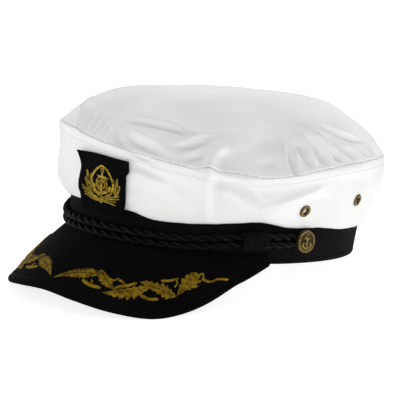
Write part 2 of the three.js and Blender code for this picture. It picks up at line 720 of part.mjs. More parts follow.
// The hat tips back until it rests, then its box is centred over the origin with its lowest point at z = 0
hat.rotation.x = -restAngle();
hat.updateMatrixWorld(true);
const bounds = new THREE.Box3().setFromObject(hat, true);
hat.position.set(-(bounds.min.x + bounds.max.x) / 2, -(bounds.min.y + bounds.max.y) / 2, -bounds.min.z);

export default hat;
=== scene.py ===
import math

import bpy
import numpy as np
from mathutils import Matrix, Vector, noise


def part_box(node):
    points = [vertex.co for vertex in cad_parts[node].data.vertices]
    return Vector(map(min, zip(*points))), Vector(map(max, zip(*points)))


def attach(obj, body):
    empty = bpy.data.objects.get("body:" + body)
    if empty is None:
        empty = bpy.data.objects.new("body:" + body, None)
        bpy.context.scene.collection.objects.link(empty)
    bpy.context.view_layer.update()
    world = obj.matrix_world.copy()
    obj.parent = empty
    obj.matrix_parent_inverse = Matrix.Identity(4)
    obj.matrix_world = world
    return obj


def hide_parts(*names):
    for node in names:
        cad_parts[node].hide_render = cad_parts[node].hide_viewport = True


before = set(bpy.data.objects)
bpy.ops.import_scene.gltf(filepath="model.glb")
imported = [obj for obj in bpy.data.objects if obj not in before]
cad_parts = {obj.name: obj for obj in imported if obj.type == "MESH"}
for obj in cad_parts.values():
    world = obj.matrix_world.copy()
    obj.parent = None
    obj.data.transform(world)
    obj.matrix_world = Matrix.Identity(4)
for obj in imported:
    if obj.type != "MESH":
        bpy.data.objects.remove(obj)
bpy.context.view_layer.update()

print("frame loaded with", len(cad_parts), "nodes")

# Lengths are in millimetres on the hat as it is sewn: upright on its band, front to -Y, wearer's left to +X.
# A turn is in degrees round the head from the front.
# A level runs up the cloth: 0 at the hem, 1 at the seam, 2 in the middle of the top.
mm = 0.001
scene = bpy.context.scene
sides = {"left": 1, "right": -1}

head = {
    "width": 174, "length": 207,      # the band's lower rim, outside
    "ovalPower": 2.1,                 # 2 is an ellipse, more is squarer
    "bandHeight": 30, "bandWall": 2.4, "bandFlare": 2.6,
    "seatGap": 0.3,
}

crown = {
    "clothWall": 1.6, "seamWidth": 202, "seamLength": 232,
    "seamHeight": 70, "seamSag": 13, "hemHeight": 20, "hemSag": 7,
    "belly": 2.3,                     # how quickly the side swells out above the hem
    "domeRise": 31.5, "domeShoulder": 6, "domeRound": 1.4, "domeLean": 0.13, "domeSettle": 1.5,
    "foldDepth": 4,
}

# turn, and the rise of the seam or the hem there as a share of its sag
seamRows = [
    (-180, 0), (-90, 0.02), (-60, 0.12), (-32, 0.3), (-12, 0.14), (0, -0.1), (22, -0.54), (40, -0.86),
    (60, -1.03), (72, -0.86), (94, -0.31), (115, -0.12), (150, -0.04), (180, 0),
]
hemRows = [
    (-180, 0), (-110, 0.1), (-60, 0.6), (-14, 1), (14, 0.9), (24, 0.43), (44, 0.6), (64, 1), (76, 0.56),
    (90, 0.5), (106, 0.14), (180, 0),
]

# soft folds: turn, level, width in turn, reach in level, lean in turn for each level, share of foldDepth
foldRows = [
    (49, 0.78, 8, 0.36, 6, 0.8),
    (62, 0.7, 8, 0.25, 25, -0.8),
    (29, 0.6, 9, 0.22, 10, -0.7),
    (30, 1.3, 22, 0.16, 0, -1),
    (-18, 1.12, 8, 0.16, 12, 0.6),
    (-4, 1.22, 7, 0.14, -10, -0.6),
    (72, 1.3, 14, 0.14, 0, -0.6),
    (84, 1.16, 6, 0.12, 14, 0.45),
    (102, 1.2, 8, 0.14, 20, -0.5),
    (140, 1.25, 12, 0.2, -20, -0.6),
    (-150, 1.15, 10, 0.2, 15, 0.6),
    (-135, 0.6, 12, 0.3, 20, -0.7),
    (-75, 1.22, 16, 0.18, 0, -0.8),
    (165, 0.55, 10, 0.3, -15, -0.6),
]

peak = {
    "halfTurn": 69.5, "root": 3.5, "reach": 45, "drop": 32,
    "wall": 3.2, "bow": 2.5, "edgeRound": 0.8,
}

# share of the turn to the peak's corner, then its edge's reach and drop there, as shares
peakHalf = [
    (0, 1, 0.79), (0.144, 1.01, 0.85), (0.288, 0.944, 0.95), (0.432, 0.8, 1), (0.532, 0.66, 0.91),
    (0.647, 0.444, 0.72), (0.791, 0.235, 0.39), (0.863, 0.14, 0.28), (1, 0.045, 0.02),
]
peakRows = [(-share, reach, drop) for share, reach, drop in peakHalf[:0:-1]] + peakHalf


def follow(rows, column, at):
    # smooth value of one column of a table, between its rows; the first column says where each row is
    at = np.asarray(at, float)
    keys = np.array([row[0] for row in rows], float)
    values = np.array([row[column] for row in rows], float)
    last = len(rows) - 1
    before = np.maximum(np.arange(last + 1) - 1, 0)
    after = np.minimum(np.arange(last + 1) + 1, last)
    slopes = (values[after] - values[before]) / (keys[after] - keys[before])
    i = np.clip(np.searchsorted(keys, at) - 1, 0, last - 1)
    span = keys[i + 1] - keys[i]
    t = np.clip((at - keys[i]) / span, 0, 1)
    ease = t * t * (3 - 2 * t)
    level = values[i] * (1 - ease) + values[i + 1] * ease
    return level + span * t * (1 - t) * (slopes[i] * (1 - t) - slopes[i + 1] * t)


def smoothStep(value, low, high):
    t = np.clip((value - low) / (high - low), 0, 1)
    return t * t * (3 - 2 * t)


def fullCircle(count):
    return np.linspace(0, 2 * math.pi, count, endpoint=False)


def allRound(count):
    # turns all the way round the head
    return np.linspace(-180, 180, count, endpoint=False)


def unit(vectors):
    return vectors / np.linalg.norm(vectors, axis=-1, keepdims=True)


def oval(halfWidth, halfLength, turn):
    side, front = np.sin(np.radians(turn)), np.cos(np.radians(turn))
    power = 2 / head["ovalPower"]
    x = halfWidth * np.sign(side) * np.abs(side) ** power
    y = -halfLength * np.sign(front) * np.abs(front) ** power
    return np.stack([x, y, np.zeros_like(x)], -1)


def outward(turn):
    halfWidth, halfLength = head["width"] / 2, head["length"] / 2
    point = oval(halfWidth, halfLength, turn)
    power = head["ovalPower"] - 1
    x = np.sign(point[..., 0]) * np.abs(point[..., 0] / halfWidth) ** power / halfWidth
    y = np.sign(point[..., 1]) * np.abs(point[..., 1] / halfLength) ** power / halfLength
    return unit(np.stack([x, y, np.zeros_like(x)], -1))


def bandFace(turn, height):
    turn, height = np.broadcast_arrays(np.asarray(turn, float), np.asarray(height, float))
    spread = head["bandFlare"] * height / head["bandHeight"]
    point = oval(head["width"] / 2, head["length"] / 2, turn) + outward(turn) * spread[..., None]
    point[..., 2] = height
    return point


def crownForm(turn, level):
    # bare form of the crown's outside
    turn, level = np.broadcast_arrays(np.asarray(turn, float), np.asarray(level, float))
    hem = crown["hemHeight"] + crown["hemSag"] * follow(hemRows, 1, turn)
    seam = crown["seamHeight"] + crown["seamSag"] * follow(seamRows, 1, turn)
    halfWidth, halfLength = crown["seamWidth"] / 2, crown["seamLength"] / 2
    swell = (1 - np.clip(1 - level, 0, 1) ** crown["belly"])[..., None]
    foot = bandFace(turn, hem) + outward(turn) * (head["seatGap"] + crown["clothWall"])
    side = foot * (1 - swell) + oval(halfWidth, halfLength, turn) * swell
    side[..., 2] = hem + (seam - hem) * level
    spread = np.clip(2 - level, 0, 1)
    top = oval(1, 1, turn) * np.stack([spread * halfWidth, spread * halfLength, spread], -1)
    lean = 1 + crown["domeLean"] * top[..., 1] / halfLength
    settled = spread ** crown["domeSettle"]
    rise = crown["domeRise"] * lean * (1 - spread ** crown["domeShoulder"]) ** crown["domeRound"]
    top[..., 2] = crown["seamHeight"] * (1 - settled) + seam * settled + rise
    return np.where((level <= 1)[..., None], side, top)


def crownNormal(turn, level):
    turn, level = np.broadcast_arrays(np.asarray(turn, float), np.asarray(level, float))
    stepTurn, stepLevel = 0.5, 0.02
    held = np.minimum(level, 2 - stepLevel)
    around = crownForm(turn + stepTurn, held) - crownForm(turn - stepTurn, held)
    up = crownForm(turn, held + stepLevel) - crownForm(turn, held - stepLevel)
    return np.where((level > 2 - stepLevel)[..., None], [0, 0, 1], unit(np.cross(around, up)))


def foldHeight(turn, level):
    height = np.zeros(np.broadcast(turn, level).shape)
    for middle, seat, width, reach, lean, share in foldRows:
        alongTurn = (turn - middle - lean * (level - seat)) / width
        alongLevel = (level - seat) / reach
        height += crown["foldDepth"] * share * np.exp(-alongTurn ** 2 - alongLevel ** 2)
    return height


def peakPoint(turn, depth):
    # point of the peak's underside, its depth a share of the way from band to edge
    turn, depth = np.broadcast_arrays(np.asarray(turn, float), np.asarray(depth, float))
    share = turn / peak["halfTurn"]
    reach = peak["reach"] * follow(peakRows, 1, share)
    drop = peak["drop"] * follow(peakRows, 2, share)
    root = bandFace(turn, peak["root"] + peak["wall"]) + outward(turn) * head["seatGap"]
    point = root + outward(turn) * (reach * depth)[..., None]
    point[..., 2] = peak["root"] - (drop + peak["root"]) * depth + 4 * peak["bow"] * depth * (1 - depth)
    return point


# The hat rests on the peak's lowest edge and the back of the band's rim. Its place is the band node's.
restTurns = np.linspace(-peak["halfTurn"], peak["halfTurn"], 37)
restEdge = peakPoint(restTurns, 1)
restAngle = np.arctan2(-restEdge[:, 2], head["length"] / 2 - restEdge[:, 1]).max()
restTurning = Matrix.Rotation(-restAngle, 3, "X")


def turnToRest(points):
    return np.asarray(points, float) @ np.array(restTurning).T


rimTurns = np.arange(-180, 180, 5)
rim = np.concatenate([turnToRest(bandFace(rimTurns, 0)), turnToRest(bandFace(rimTurns, head["bandHeight"]))])
bandLow, bandHigh = (np.array(corner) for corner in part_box("band"))
restShift = (bandLow + bandHigh) / 2 - mm * (rim.min(0) + rim.max(0)) / 2


def toWorld(points):
    return turnToRest(points) * mm + restShift


# Camera

view = {
    "azimuth": 44.0, "elevation": 13.3, "distance": 1.0292, "focalLength": 135.06,
    "target": (-0.0111, 0.0113, 0.0405),
}


def wayTo(azimuth, elevation):
    a, e = math.radians(azimuth), math.radians(elevation)
    return Vector((math.sin(a) * math.cos(e), -math.cos(a) * math.cos(e), math.sin(e)))


def addCamera():
    back = wayTo(view["azimuth"], view["elevation"])
    camera = bpy.data.objects.new("camera", bpy.data.cameras.new("camera"))
    camera.data.lens = view["focalLength"]
    camera.data.sensor_width = 36
    camera.location = Vector(view["target"]) + back * view["distance"]
    camera.rotation_euler = back.to_track_quat("Z", "Y").to_euler()
    camera.data.clip_end = 20
    scene.collection.objects.link(camera)
    scene.camera = camera


addCamera()
print("camera placed")

# Meshes


def buildMesh(name, bodies):
    # one mesh from closed bodies, their points in millimetres on the sewn hat
    mesh = bpy.data.meshes.new(name)
    points, faces, maps, marks, count = [], [], [], {}, 0
    for body in bodies:
        placed = toWorld(body["points"])
        quads = [face + count for face in body["faces"]]
        corners = body["map"]
        if volumeSign(placed, body["faces"]) < 0:
            quads, corners = [face[::-1] for face in quads], [corner[::-1] for corner in corners]
        points.append(placed)
        faces += quads
        maps += corners
        for mark, values in body["marks"].items():
            marks.setdefault(mark, []).append(np.ravel(values))
        count += len(placed)
    mesh.from_pydata(np.concatenate(points).tolist(), [], [face.tolist() for face in faces])
    flat = np.concatenate(maps).astype(np.float32).ravel()
    mesh.uv_layers.new(name="cloth").data.foreach_set("uv", flat)
    for mark, values in marks.items():
        layer = mesh.attributes.new(mark, "FLOAT", "POINT")
        layer.data.foreach_set("value", np.concatenate(values).astype(np.float32))
    mesh.shade_smooth()
    return mesh


def volumeSign(placed, faces):
    middle = placed.mean(0)
    first, second, third, last = (placed[[face[k] for face in faces]] - middle for k in (0, 1, 2, -1))
    volume = np.einsum("ij,ij", first, np.cross(second, third))
    return volume + np.einsum("ij,ij", first, np.cross(third, last))


def addPiece(name, mesh, material, slot, *nodes):
    piece = bpy.data.objects.new(name, mesh)
    mesh.materials.clear()
    mesh.materials.append(material)
    scene.collection.objects.link(piece)
    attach(piece, "root")
    if nodes:
        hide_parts(*nodes)
    return piece


def sweepBody(loops, ring=False, mapAt=None, marks=None, holes=None):
    # closed body through loops of points; mapAt gives a pair for each point of the unrolled grid
    count, size = loops.shape[:2]
    spans = count if ring else count - 1
    i, j = np.meshgrid(np.arange(spans), np.arange(size), indexing="ij")
    if holes is not None:
        i, j = i[~holes], j[~holes]
    i, j = i.ravel(), j.ravel()
    after, k = (i + 1) % count, (j + 1) % size
    quads = np.stack([i * size + j, after * size + j, after * size + k, i * size + k], 1)
    if mapAt is None:
        mapAt = np.stack(np.meshgrid(np.arange(count + 1.0), np.arange(size + 1.0), indexing="ij"), -1)
    corners = np.stack([mapAt[i, j], mapAt[i + 1, j], mapAt[i + 1, j + 1], mapAt[i, j + 1]], 1)
    faces, maps = list(quads), list(corners)
    if holes is not None:
        bridges = bridgeHoles(holes, count, size)
        faces += bridges
        maps += [np.zeros((4, 2))] * len(bridges)
    if not ring:
        for row, flip in ((0, 1), (count - 1, -1)):
            low, high = 0, size - 1
            while high - low > 1:
                ids = [low, low + 1, high] if high - low == 2 else [low, low + 1, high - 1, high]
                ids = np.array(ids[::flip])
                faces.append(row * size + ids)
                maps.append(mapAt[row, ids])
                low, high = low + 1, high - 1
    return {"points": loops.reshape(-1, 3), "faces": faces, "map": maps, "marks": marks or {}}


def bridgeHoles(holes, count, size):
    # walls between the outer and inner edge of each hole, whose rows mirror each other
    bridges = []
    rows = size // 2
    for i, j in np.argwhere(holes[:, :rows]).tolist():
        after = (i + 1) % count
        for here, there, beside in (
            ((i, j), (after, j), (i, j - 1)), ((after, j), (after, j + 1), (after, j)),
            ((after, j + 1), (i, j + 1), (i, j + 1)), ((i, j + 1), (i, j), ((i - 1) % count, j)),
        ):
            if not holes[beside]:
                inner = [(spot[0], size - 1 - spot[1]) for spot in (there, here)]
                bridges.append(np.array([spot[0] * size + spot[1] for spot in (here, there, *inner)]))
    return bridges


def smoothPath(points, count):
    # even points on a smooth path through a few given ones
    points = np.asarray(points, float)
    steps = np.concatenate([[0], np.cumsum(np.linalg.norm(np.diff(points, axis=0), axis=1))])
    rows = np.column_stack([steps, points])
    at = np.linspace(0, steps[-1], count)
    return np.stack([follow(rows, k + 1, at) for k in range(points.shape[1])], -1)


# Materials


def newMaterial(name):
    material = bpy.data.materials.new(name)
    material.use_nodes = True
    shader = material.node_tree.nodes["Principled BSDF"]
    return material, material.node_tree, shader


def feed(tree, node, inputs):
    # each input takes a socket, a node's first output or a plain value
    for key, value in inputs.items():
        if isinstance(value, bpy.types.Node):
            value = value.outputs[0]
        if isinstance(value, bpy.types.NodeSocket):
            tree.links.new(value, node.inputs[key])
        else:
            node.inputs[key].default_value = value
    return node


def addNode(tree, kind, inputs=None, **settings):
    node = tree.nodes.new(kind)
    for key, value in settings.items():
        setattr(node, key, value)
    return feed(tree, node, inputs or {})


def calc(tree, operation, *values):
    return addNode(tree, "ShaderNodeMath", dict(enumerate(values)), operation=operation).outputs["Value"]


def mixColour(tree, factor, first, second):
    node = addNode(tree, "ShaderNodeMix", data_type="RGBA")
    # a Mix node's colour sockets come after its float and vector ones
    feed(tree, node, {0: factor, 6: first, 7: second})
    return node.outputs[2]


def addBump(tree, shader, height, distance):
    bump = addNode(tree, "ShaderNodeBump", {"Height": height, "Distance": distance})
    feed(tree, shader, {"Normal": bump})


def newGroup(name, kind, inputs, outputs):
    group = bpy.data.node_groups.new(name, kind)
    for way, sockets in (("INPUT", inputs), ("OUTPUT", outputs)):
        for title, socket in sockets.items():
            group.interface.new_socket(title, in_out=way, socket_type=f"NodeSocket{socket}")
    return group, group.nodes.new("NodeGroupInput"), group.nodes.new("NodeGroupOutput")


def makeTwillGroup():
    # woven cloth from a piece's own map in millimetres: slanted ribs, threads across them and uneven yarn
    group, source, sink = newGroup(
        "twill weave", "ShaderNodeTree", {"Map": "Vector", "Rib": "Float", "Slant": "Float"},
        {"Height": "Float", "Uneven": "Float"})
    turned = addNode(group, "ShaderNodeVectorRotate", {
        "Vector": source.outputs["Map"], "Angle": source.outputs["Slant"]}, rotation_type="Z_AXIS")
    scale = calc(group, "DIVIDE", 1.0, source.outputs["Rib"])
    ribs = addNode(group, "ShaderNodeVectorMath", {0: turned, "Scale": scale}, operation="SCALE")
    split = addNode(group, "ShaderNodeSeparateXYZ", {"Vector": ribs})
    waves = []
    for axis, share in (("X", 1.0), ("Y", 1.6)):
        turns = calc(group, "MULTIPLY", split.outputs[axis], 2 * math.pi * share)
        waves.append(calc(group, "SINE", turns))
    woven = calc(group, "MULTIPLY_ADD", waves[1], 0.45, waves[0])
    yarn = addNode(group, "ShaderNodeTexNoise", {"Vector": ribs, "Scale": 0.6, "Detail": 2.0})
    height = calc(group, "MULTIPLY_ADD", yarn, 1.2, woven)
    feed(group, sink, {"Height": height, "Uneven": yarn})
    return group


def makeThreadGroup():
    # fine threads side by side along the map's first direction, a little uneven
    group, source, sink = newGroup(
        "satin threads", "ShaderNodeTree", {"Map": "Vector", "Pitch": "Float"},
        {"Height": "Float", "Uneven": "Float"})
    split = addNode(group, "ShaderNodeSeparateXYZ", {"Vector": source.outputs["Map"]})
    wobble = addNode(group, "ShaderNodeTexNoise", {
        "Vector": source.outputs["Map"], "Scale": 1.3, "Detail": 2.0})
    along = calc(group, "MULTIPLY_ADD", wobble, 0.35, split.outputs["X"])
    share = calc(group, "DIVIDE", along, source.outputs["Pitch"])
    turns = calc(group, "MULTIPLY", share, 2 * math.pi)
    wave = calc(group, "SINE", turns)
    lifted = addNode(group, "ShaderNodeMapRange", {"Value": wave, "From Min": -1.0, "From Max": 1.0})
    # the Uneven output paints light on the threads' crests and shade between them, broken up by noise
    uneven = calc(group, "MULTIPLY", lifted, wobble)
    feed(group, sink, {"Height": lifted, "Uneven": uneven})
    return group


def makeFibreGroup():
    # felt from its own fibres: noise at two sizes
    group, source, sink = newGroup(
        "felt fibres", "ShaderNodeTree", {"Fibre": "Float", "Tuft": "Float"}, {"Height": "Float"})
    place = group.nodes.new("ShaderNodeTexCoord")
    fibres = addNode(group, "ShaderNodeTexNoise", {
        "Vector": place.outputs["Object"], "Scale": source.outputs["Fibre"], "Detail": 3.0, "Roughness": 0.7})
    tufts = addNode(group, "ShaderNodeTexNoise", {
        "Vector": place.outputs["Object"], "Scale": source.outputs["Tuft"], "Detail": 2.0})
    height = calc(group, "MULTIPLY_ADD", tufts, 0.8, fibres)
    feed(group, sink, {"Height": height})
    return group


def makeWearAndGlintGroup():
    # soft stains and fading, from the piece's place; on the threads it places painted glints
    group, source, sink = newGroup(
        "soft fading", "ShaderNodeTree", {"Spread": "Float", "Low": "Float", "High": "Float"},
        {"Mask": "Float"})
    place = group.nodes.new("ShaderNodeTexCoord")
    cloud = addNode(group, "ShaderNodeTexNoise", {
        "Vector": place.outputs["Object"], "Scale": source.outputs["Spread"], "Detail": 4.0})
    ranged = addNode(group, "ShaderNodeMapRange", {
        "Value": cloud, "From Min": source.outputs["Low"], "From Max": source.outputs["High"]})
    feed(group, sink, {"Mask": ranged})
    return group


twillGroup, fadingAndGlintGroup = makeTwillGroup(), makeWearAndGlintGroup()
threadGroup, fibreGroup = makeThreadGroup(), makeFibreGroup()


def addTwill(tree, rib, slant):
    place = addNode(tree, "ShaderNodeUVMap", uv_map="cloth")
    return addNode(tree, "ShaderNodeGroup", {
        "Map": place, "Rib": rib, "Slant": math.radians(slant)}, node_tree=twillGroup)


def addFadingAndGlints(tree, spread, low, high):
    return addNode(tree, "ShaderNodeGroup", {
        "Spread": spread, "Low": low, "High": high}, node_tree=fadingAndGlintGroup).outputs["Mask"]


# thread is the colour of the painted shade in the seam's groove and between the topstitches
cottonLook = {
    "light": (0.88, 0.89, 0.875, 1), "shade": (0.82, 0.835, 0.815, 1), "thread": (0.5, 0.51, 0.5, 1),
    "rib": 0.55, "slant": 35, "weaveDepth": 0.00004,
}


def makeWhiteCotton():
    material, tree, shader = newMaterial("white cotton twill")
    look = cottonLook
    weave = addTwill(tree, look["rib"], look["slant"])
    fading = addFadingAndGlints(tree, 22, 0.35, 0.7)
    cloth = mixColour(tree, fading, look["light"], look["shade"])
    # the seamShade mark paints shade along the seam's groove and between the topstitches
    crease = addNode(tree, "ShaderNodeAttribute", attribute_name="seamShade")
    shaded = mixColour(tree, crease.outputs["Fac"], cloth, look["thread"])
    feed(tree, shader, {"Base Color": shaded, "Roughness": 0.9, "Specular IOR Level": 0.2,
        "Sheen Weight": 0.15, "Sheen Roughness": 0.6})
    addBump(tree, shader, weave.outputs["Height"], look["weaveDepth"])
    return material


def makeBlackCloth(name, base, lit, rib, slant, depth):
    material, tree, shader = newMaterial(name)
    weave = addTwill(tree, rib, slant)
    fading = addFadingAndGlints(tree, 60, 0.3, 0.75)
    blend = calc(tree, "MULTIPLY", weave.outputs["Uneven"], fading)
    cloth = mixColour(tree, blend, base, lit)
    feed(tree, shader, {"Base Color": cloth, "Roughness": 0.95, "Specular IOR Level": 0.08,
        "Sheen Weight": 0.05, "Sheen Roughness": 0.5, "Sheen Tint": (0.1, 0.1, 0.11, 1)})
    addBump(tree, shader, weave.outputs["Height"], depth)
    return material


def makeFelt(name, base, lit, depth):
    material, tree, shader = newMaterial(name)
    felt = addNode(tree, "ShaderNodeGroup", {"Fibre": 2600.0, "Tuft": 700.0}, node_tree=fibreGroup)
    fading = addFadingAndGlints(tree, 45, 0.3, 0.75)
    cloth = mixColour(tree, fading, base, lit)
    feed(tree, shader, {"Base Color": cloth, "Roughness": 1.0, "Specular IOR Level": 0.03,
        "Sheen Weight": 0.01, "Sheen Roughness": 0.5})
    addBump(tree, shader, felt.outputs["Height"], depth)
    return material


threadLooks = {
    "leaf": {"gold": (0.115, 0.06, 0.001, 1), "pale": (0.4, 0.26, 0.006, 1),
        "veinAndShade": (0.008, 0.0025, 0.001, 1), "pitch": 0.42, "depth": 0.00016, "roughness": 0.5, "gloss": 0.1,
        "patches": 260, "contrast": 2.6},
    "emblem": {"gold": (0.15, 0.08, 0.001, 1), "pale": (0.95, 0.68, 0.05, 1),
        "veinAndShade": (0.008, 0.003, 0.001, 1), "pitch": 0.45, "depth": 0.0002, "roughness": 0.42, "gloss": 0.25,
        "patches": 420, "contrast": 3},
    "cord": {"gold": (0.0011, 0.0011, 0.0011, 1), "pale": (0.0042, 0.0042, 0.0042, 1),
        "veinAndShade": (0.001, 0.001, 0.001, 1), "pitch": 0.5, "depth": 0.0001, "roughness": 0.5, "gloss": 0.09,
        "patches": 100, "contrast": 2},
    "white": {"gold": (0.75, 0.76, 0.75, 1), "pale": (0.85, 0.86, 0.85, 1), "veinAndShade": (0.5, 0.5, 0.5, 1),
        "pitch": 0.3, "depth": 4e-05, "roughness": 0.7, "gloss": 0.45, "patches": 100, "contrast": 2},
}


def makeThread(name, look):
    material, tree, shader = newMaterial(name)
    place = addNode(tree, "ShaderNodeUVMap", uv_map="cloth")
    threads = addNode(tree, "ShaderNodeGroup", {"Map": place, "Pitch": look["pitch"]},
                      node_tree=threadGroup)
    # the pale colour is painted highlight: glints on the threads' crests in random patches
    wearAndGlints = addFadingAndGlints(tree, look["patches"], 0.36, 0.6)
    lit = calc(tree, "MULTIPLY", threads.outputs["Uneven"], wearAndGlints)
    bright = calc(tree, "MULTIPLY", lit, look["contrast"])
    thread = mixColour(tree, bright, look["gold"], look["pale"])
    # this mark darkens the leaves' veins and paints shade along stroke edges and in the grooves between coils
    veinsAndShade = addNode(tree, "ShaderNodeAttribute", attribute_name="veinAndShade")
    coloured = mixColour(tree, veinsAndShade.outputs["Fac"], thread, look["veinAndShade"])
    feed(tree, shader, {"Base Color": coloured, "Roughness": look["roughness"],
        "Specular IOR Level": look["gloss"]})
    addBump(tree, shader, threads.outputs["Height"], look["depth"])
    return material


brassLook = {
    "bright": (0.4, 0.28, 0.1, 1), "dark": (0.02, 0.014, 0.006, 1), "patina": (0.09, 0.06, 0.018, 1),
}


def makeAgedBrass():
    # bright on what stands out, dark in the hollows
    material, tree, shader = newMaterial("aged brass")
    look = brassLook
    relief = addNode(tree, "ShaderNodeAttribute", attribute_name="relief")
    stains = addFadingAndGlints(tree, 900, 0.35, 0.65)
    metal = mixColour(tree, stains, look["bright"], look["patina"])
    wearAndGlints = mixColour(tree, relief.outputs["Fac"], look["dark"], metal)
    rough = addNode(tree, "ShaderNodeMapRange", {
        "Value": relief.outputs["Fac"], "To Min": 0.55, "To Max": 0.3})
    feed(tree, shader, {"Base Color": wearAndGlints, "Metallic": 1.0, "Roughness": rough})
    place = addNode(tree, "ShaderNodeTexCoord")
    grain = addNode(tree, "ShaderNodeTexNoise", {
        "Vector": place.outputs["Object"], "Scale": 3500.0, "Detail": 2.0})
    addBump(tree, shader, grain, 0.00003)
    return material


whiteCotton = makeWhiteCotton()
bandTwill = makeBlackCloth("black band twill", (0.0011, 0.0012, 0.0013, 1), (0.0055, 0.0058, 0.0058, 1),
                           0.8, 62, 0.00012)
peakFelt = makeFelt("black peak felt", (0.0014, 0.0014, 0.0015, 1), (0.003, 0.0029, 0.003, 1), 0.00012)
patchFelt = makeFelt("black patch felt", (0.0016, 0.0016, 0.002, 1), (0.0034, 0.0034, 0.004, 1), 0.00015)
cordThread = makeThread("black cord thread", threadLooks["cord"])
goldThread = makeThread("gold satin thread", threadLooks["leaf"])
emblemThread = makeThread("bright gold thread", threadLooks["emblem"])
whiteThread = makeThread("white thread", threadLooks["white"])
agedBrass = makeAgedBrass()
print("materials made")

# Crown

# stitches in mm: how far from an edge, from stitch to stitch, length and half thickness
rows = {
    "seamPitch": 3.4, "topstitchBelowSeam": 5.7, "topstitchPitch": 3.4, "topstitchLength": 2.5,
    "topstitchThread": 0.24,
    "peakInset": 2.1, "peakPitch": 2.8, "peakLength": 2, "peakThread": 0.17,
    "bandInset": 1.8, "bandHighRow": 18.6, "bandPitch": 2.8, "bandLength": 2,
}

creases = {
    "seed": 11,
    "seamGroove": 0.45, "seamGrooveWidth": 0.4,       # where the top is sewn to the side
    "allowance": 6.2, "allowanceHeight": 0.45,       # the turned-in cloth under the topstitching
    "pucker": 0.46, "puckerLength": 4.2,
    "puckerReach": 6, "hemPucker": 0.5, "hemPuckerLength": 9, "hemReach": 7, "hemRoll": 0.6,
    "stitchGroove": 0.22, "topRoll": 0.5, "topRollReach": 4,
    "ripple": 0.4, "rippleLength": 16,
    "grain": 0.12, "grainLength": 5,
    "farPleats": 44, "farDents": 16,
}


def crease(width, height, *path, sharp=False):
    # width and height in mm, path in turn and level; a sharp one has an edge
    return {"path": path, "width": width, "height": height, "sharp": sharp}


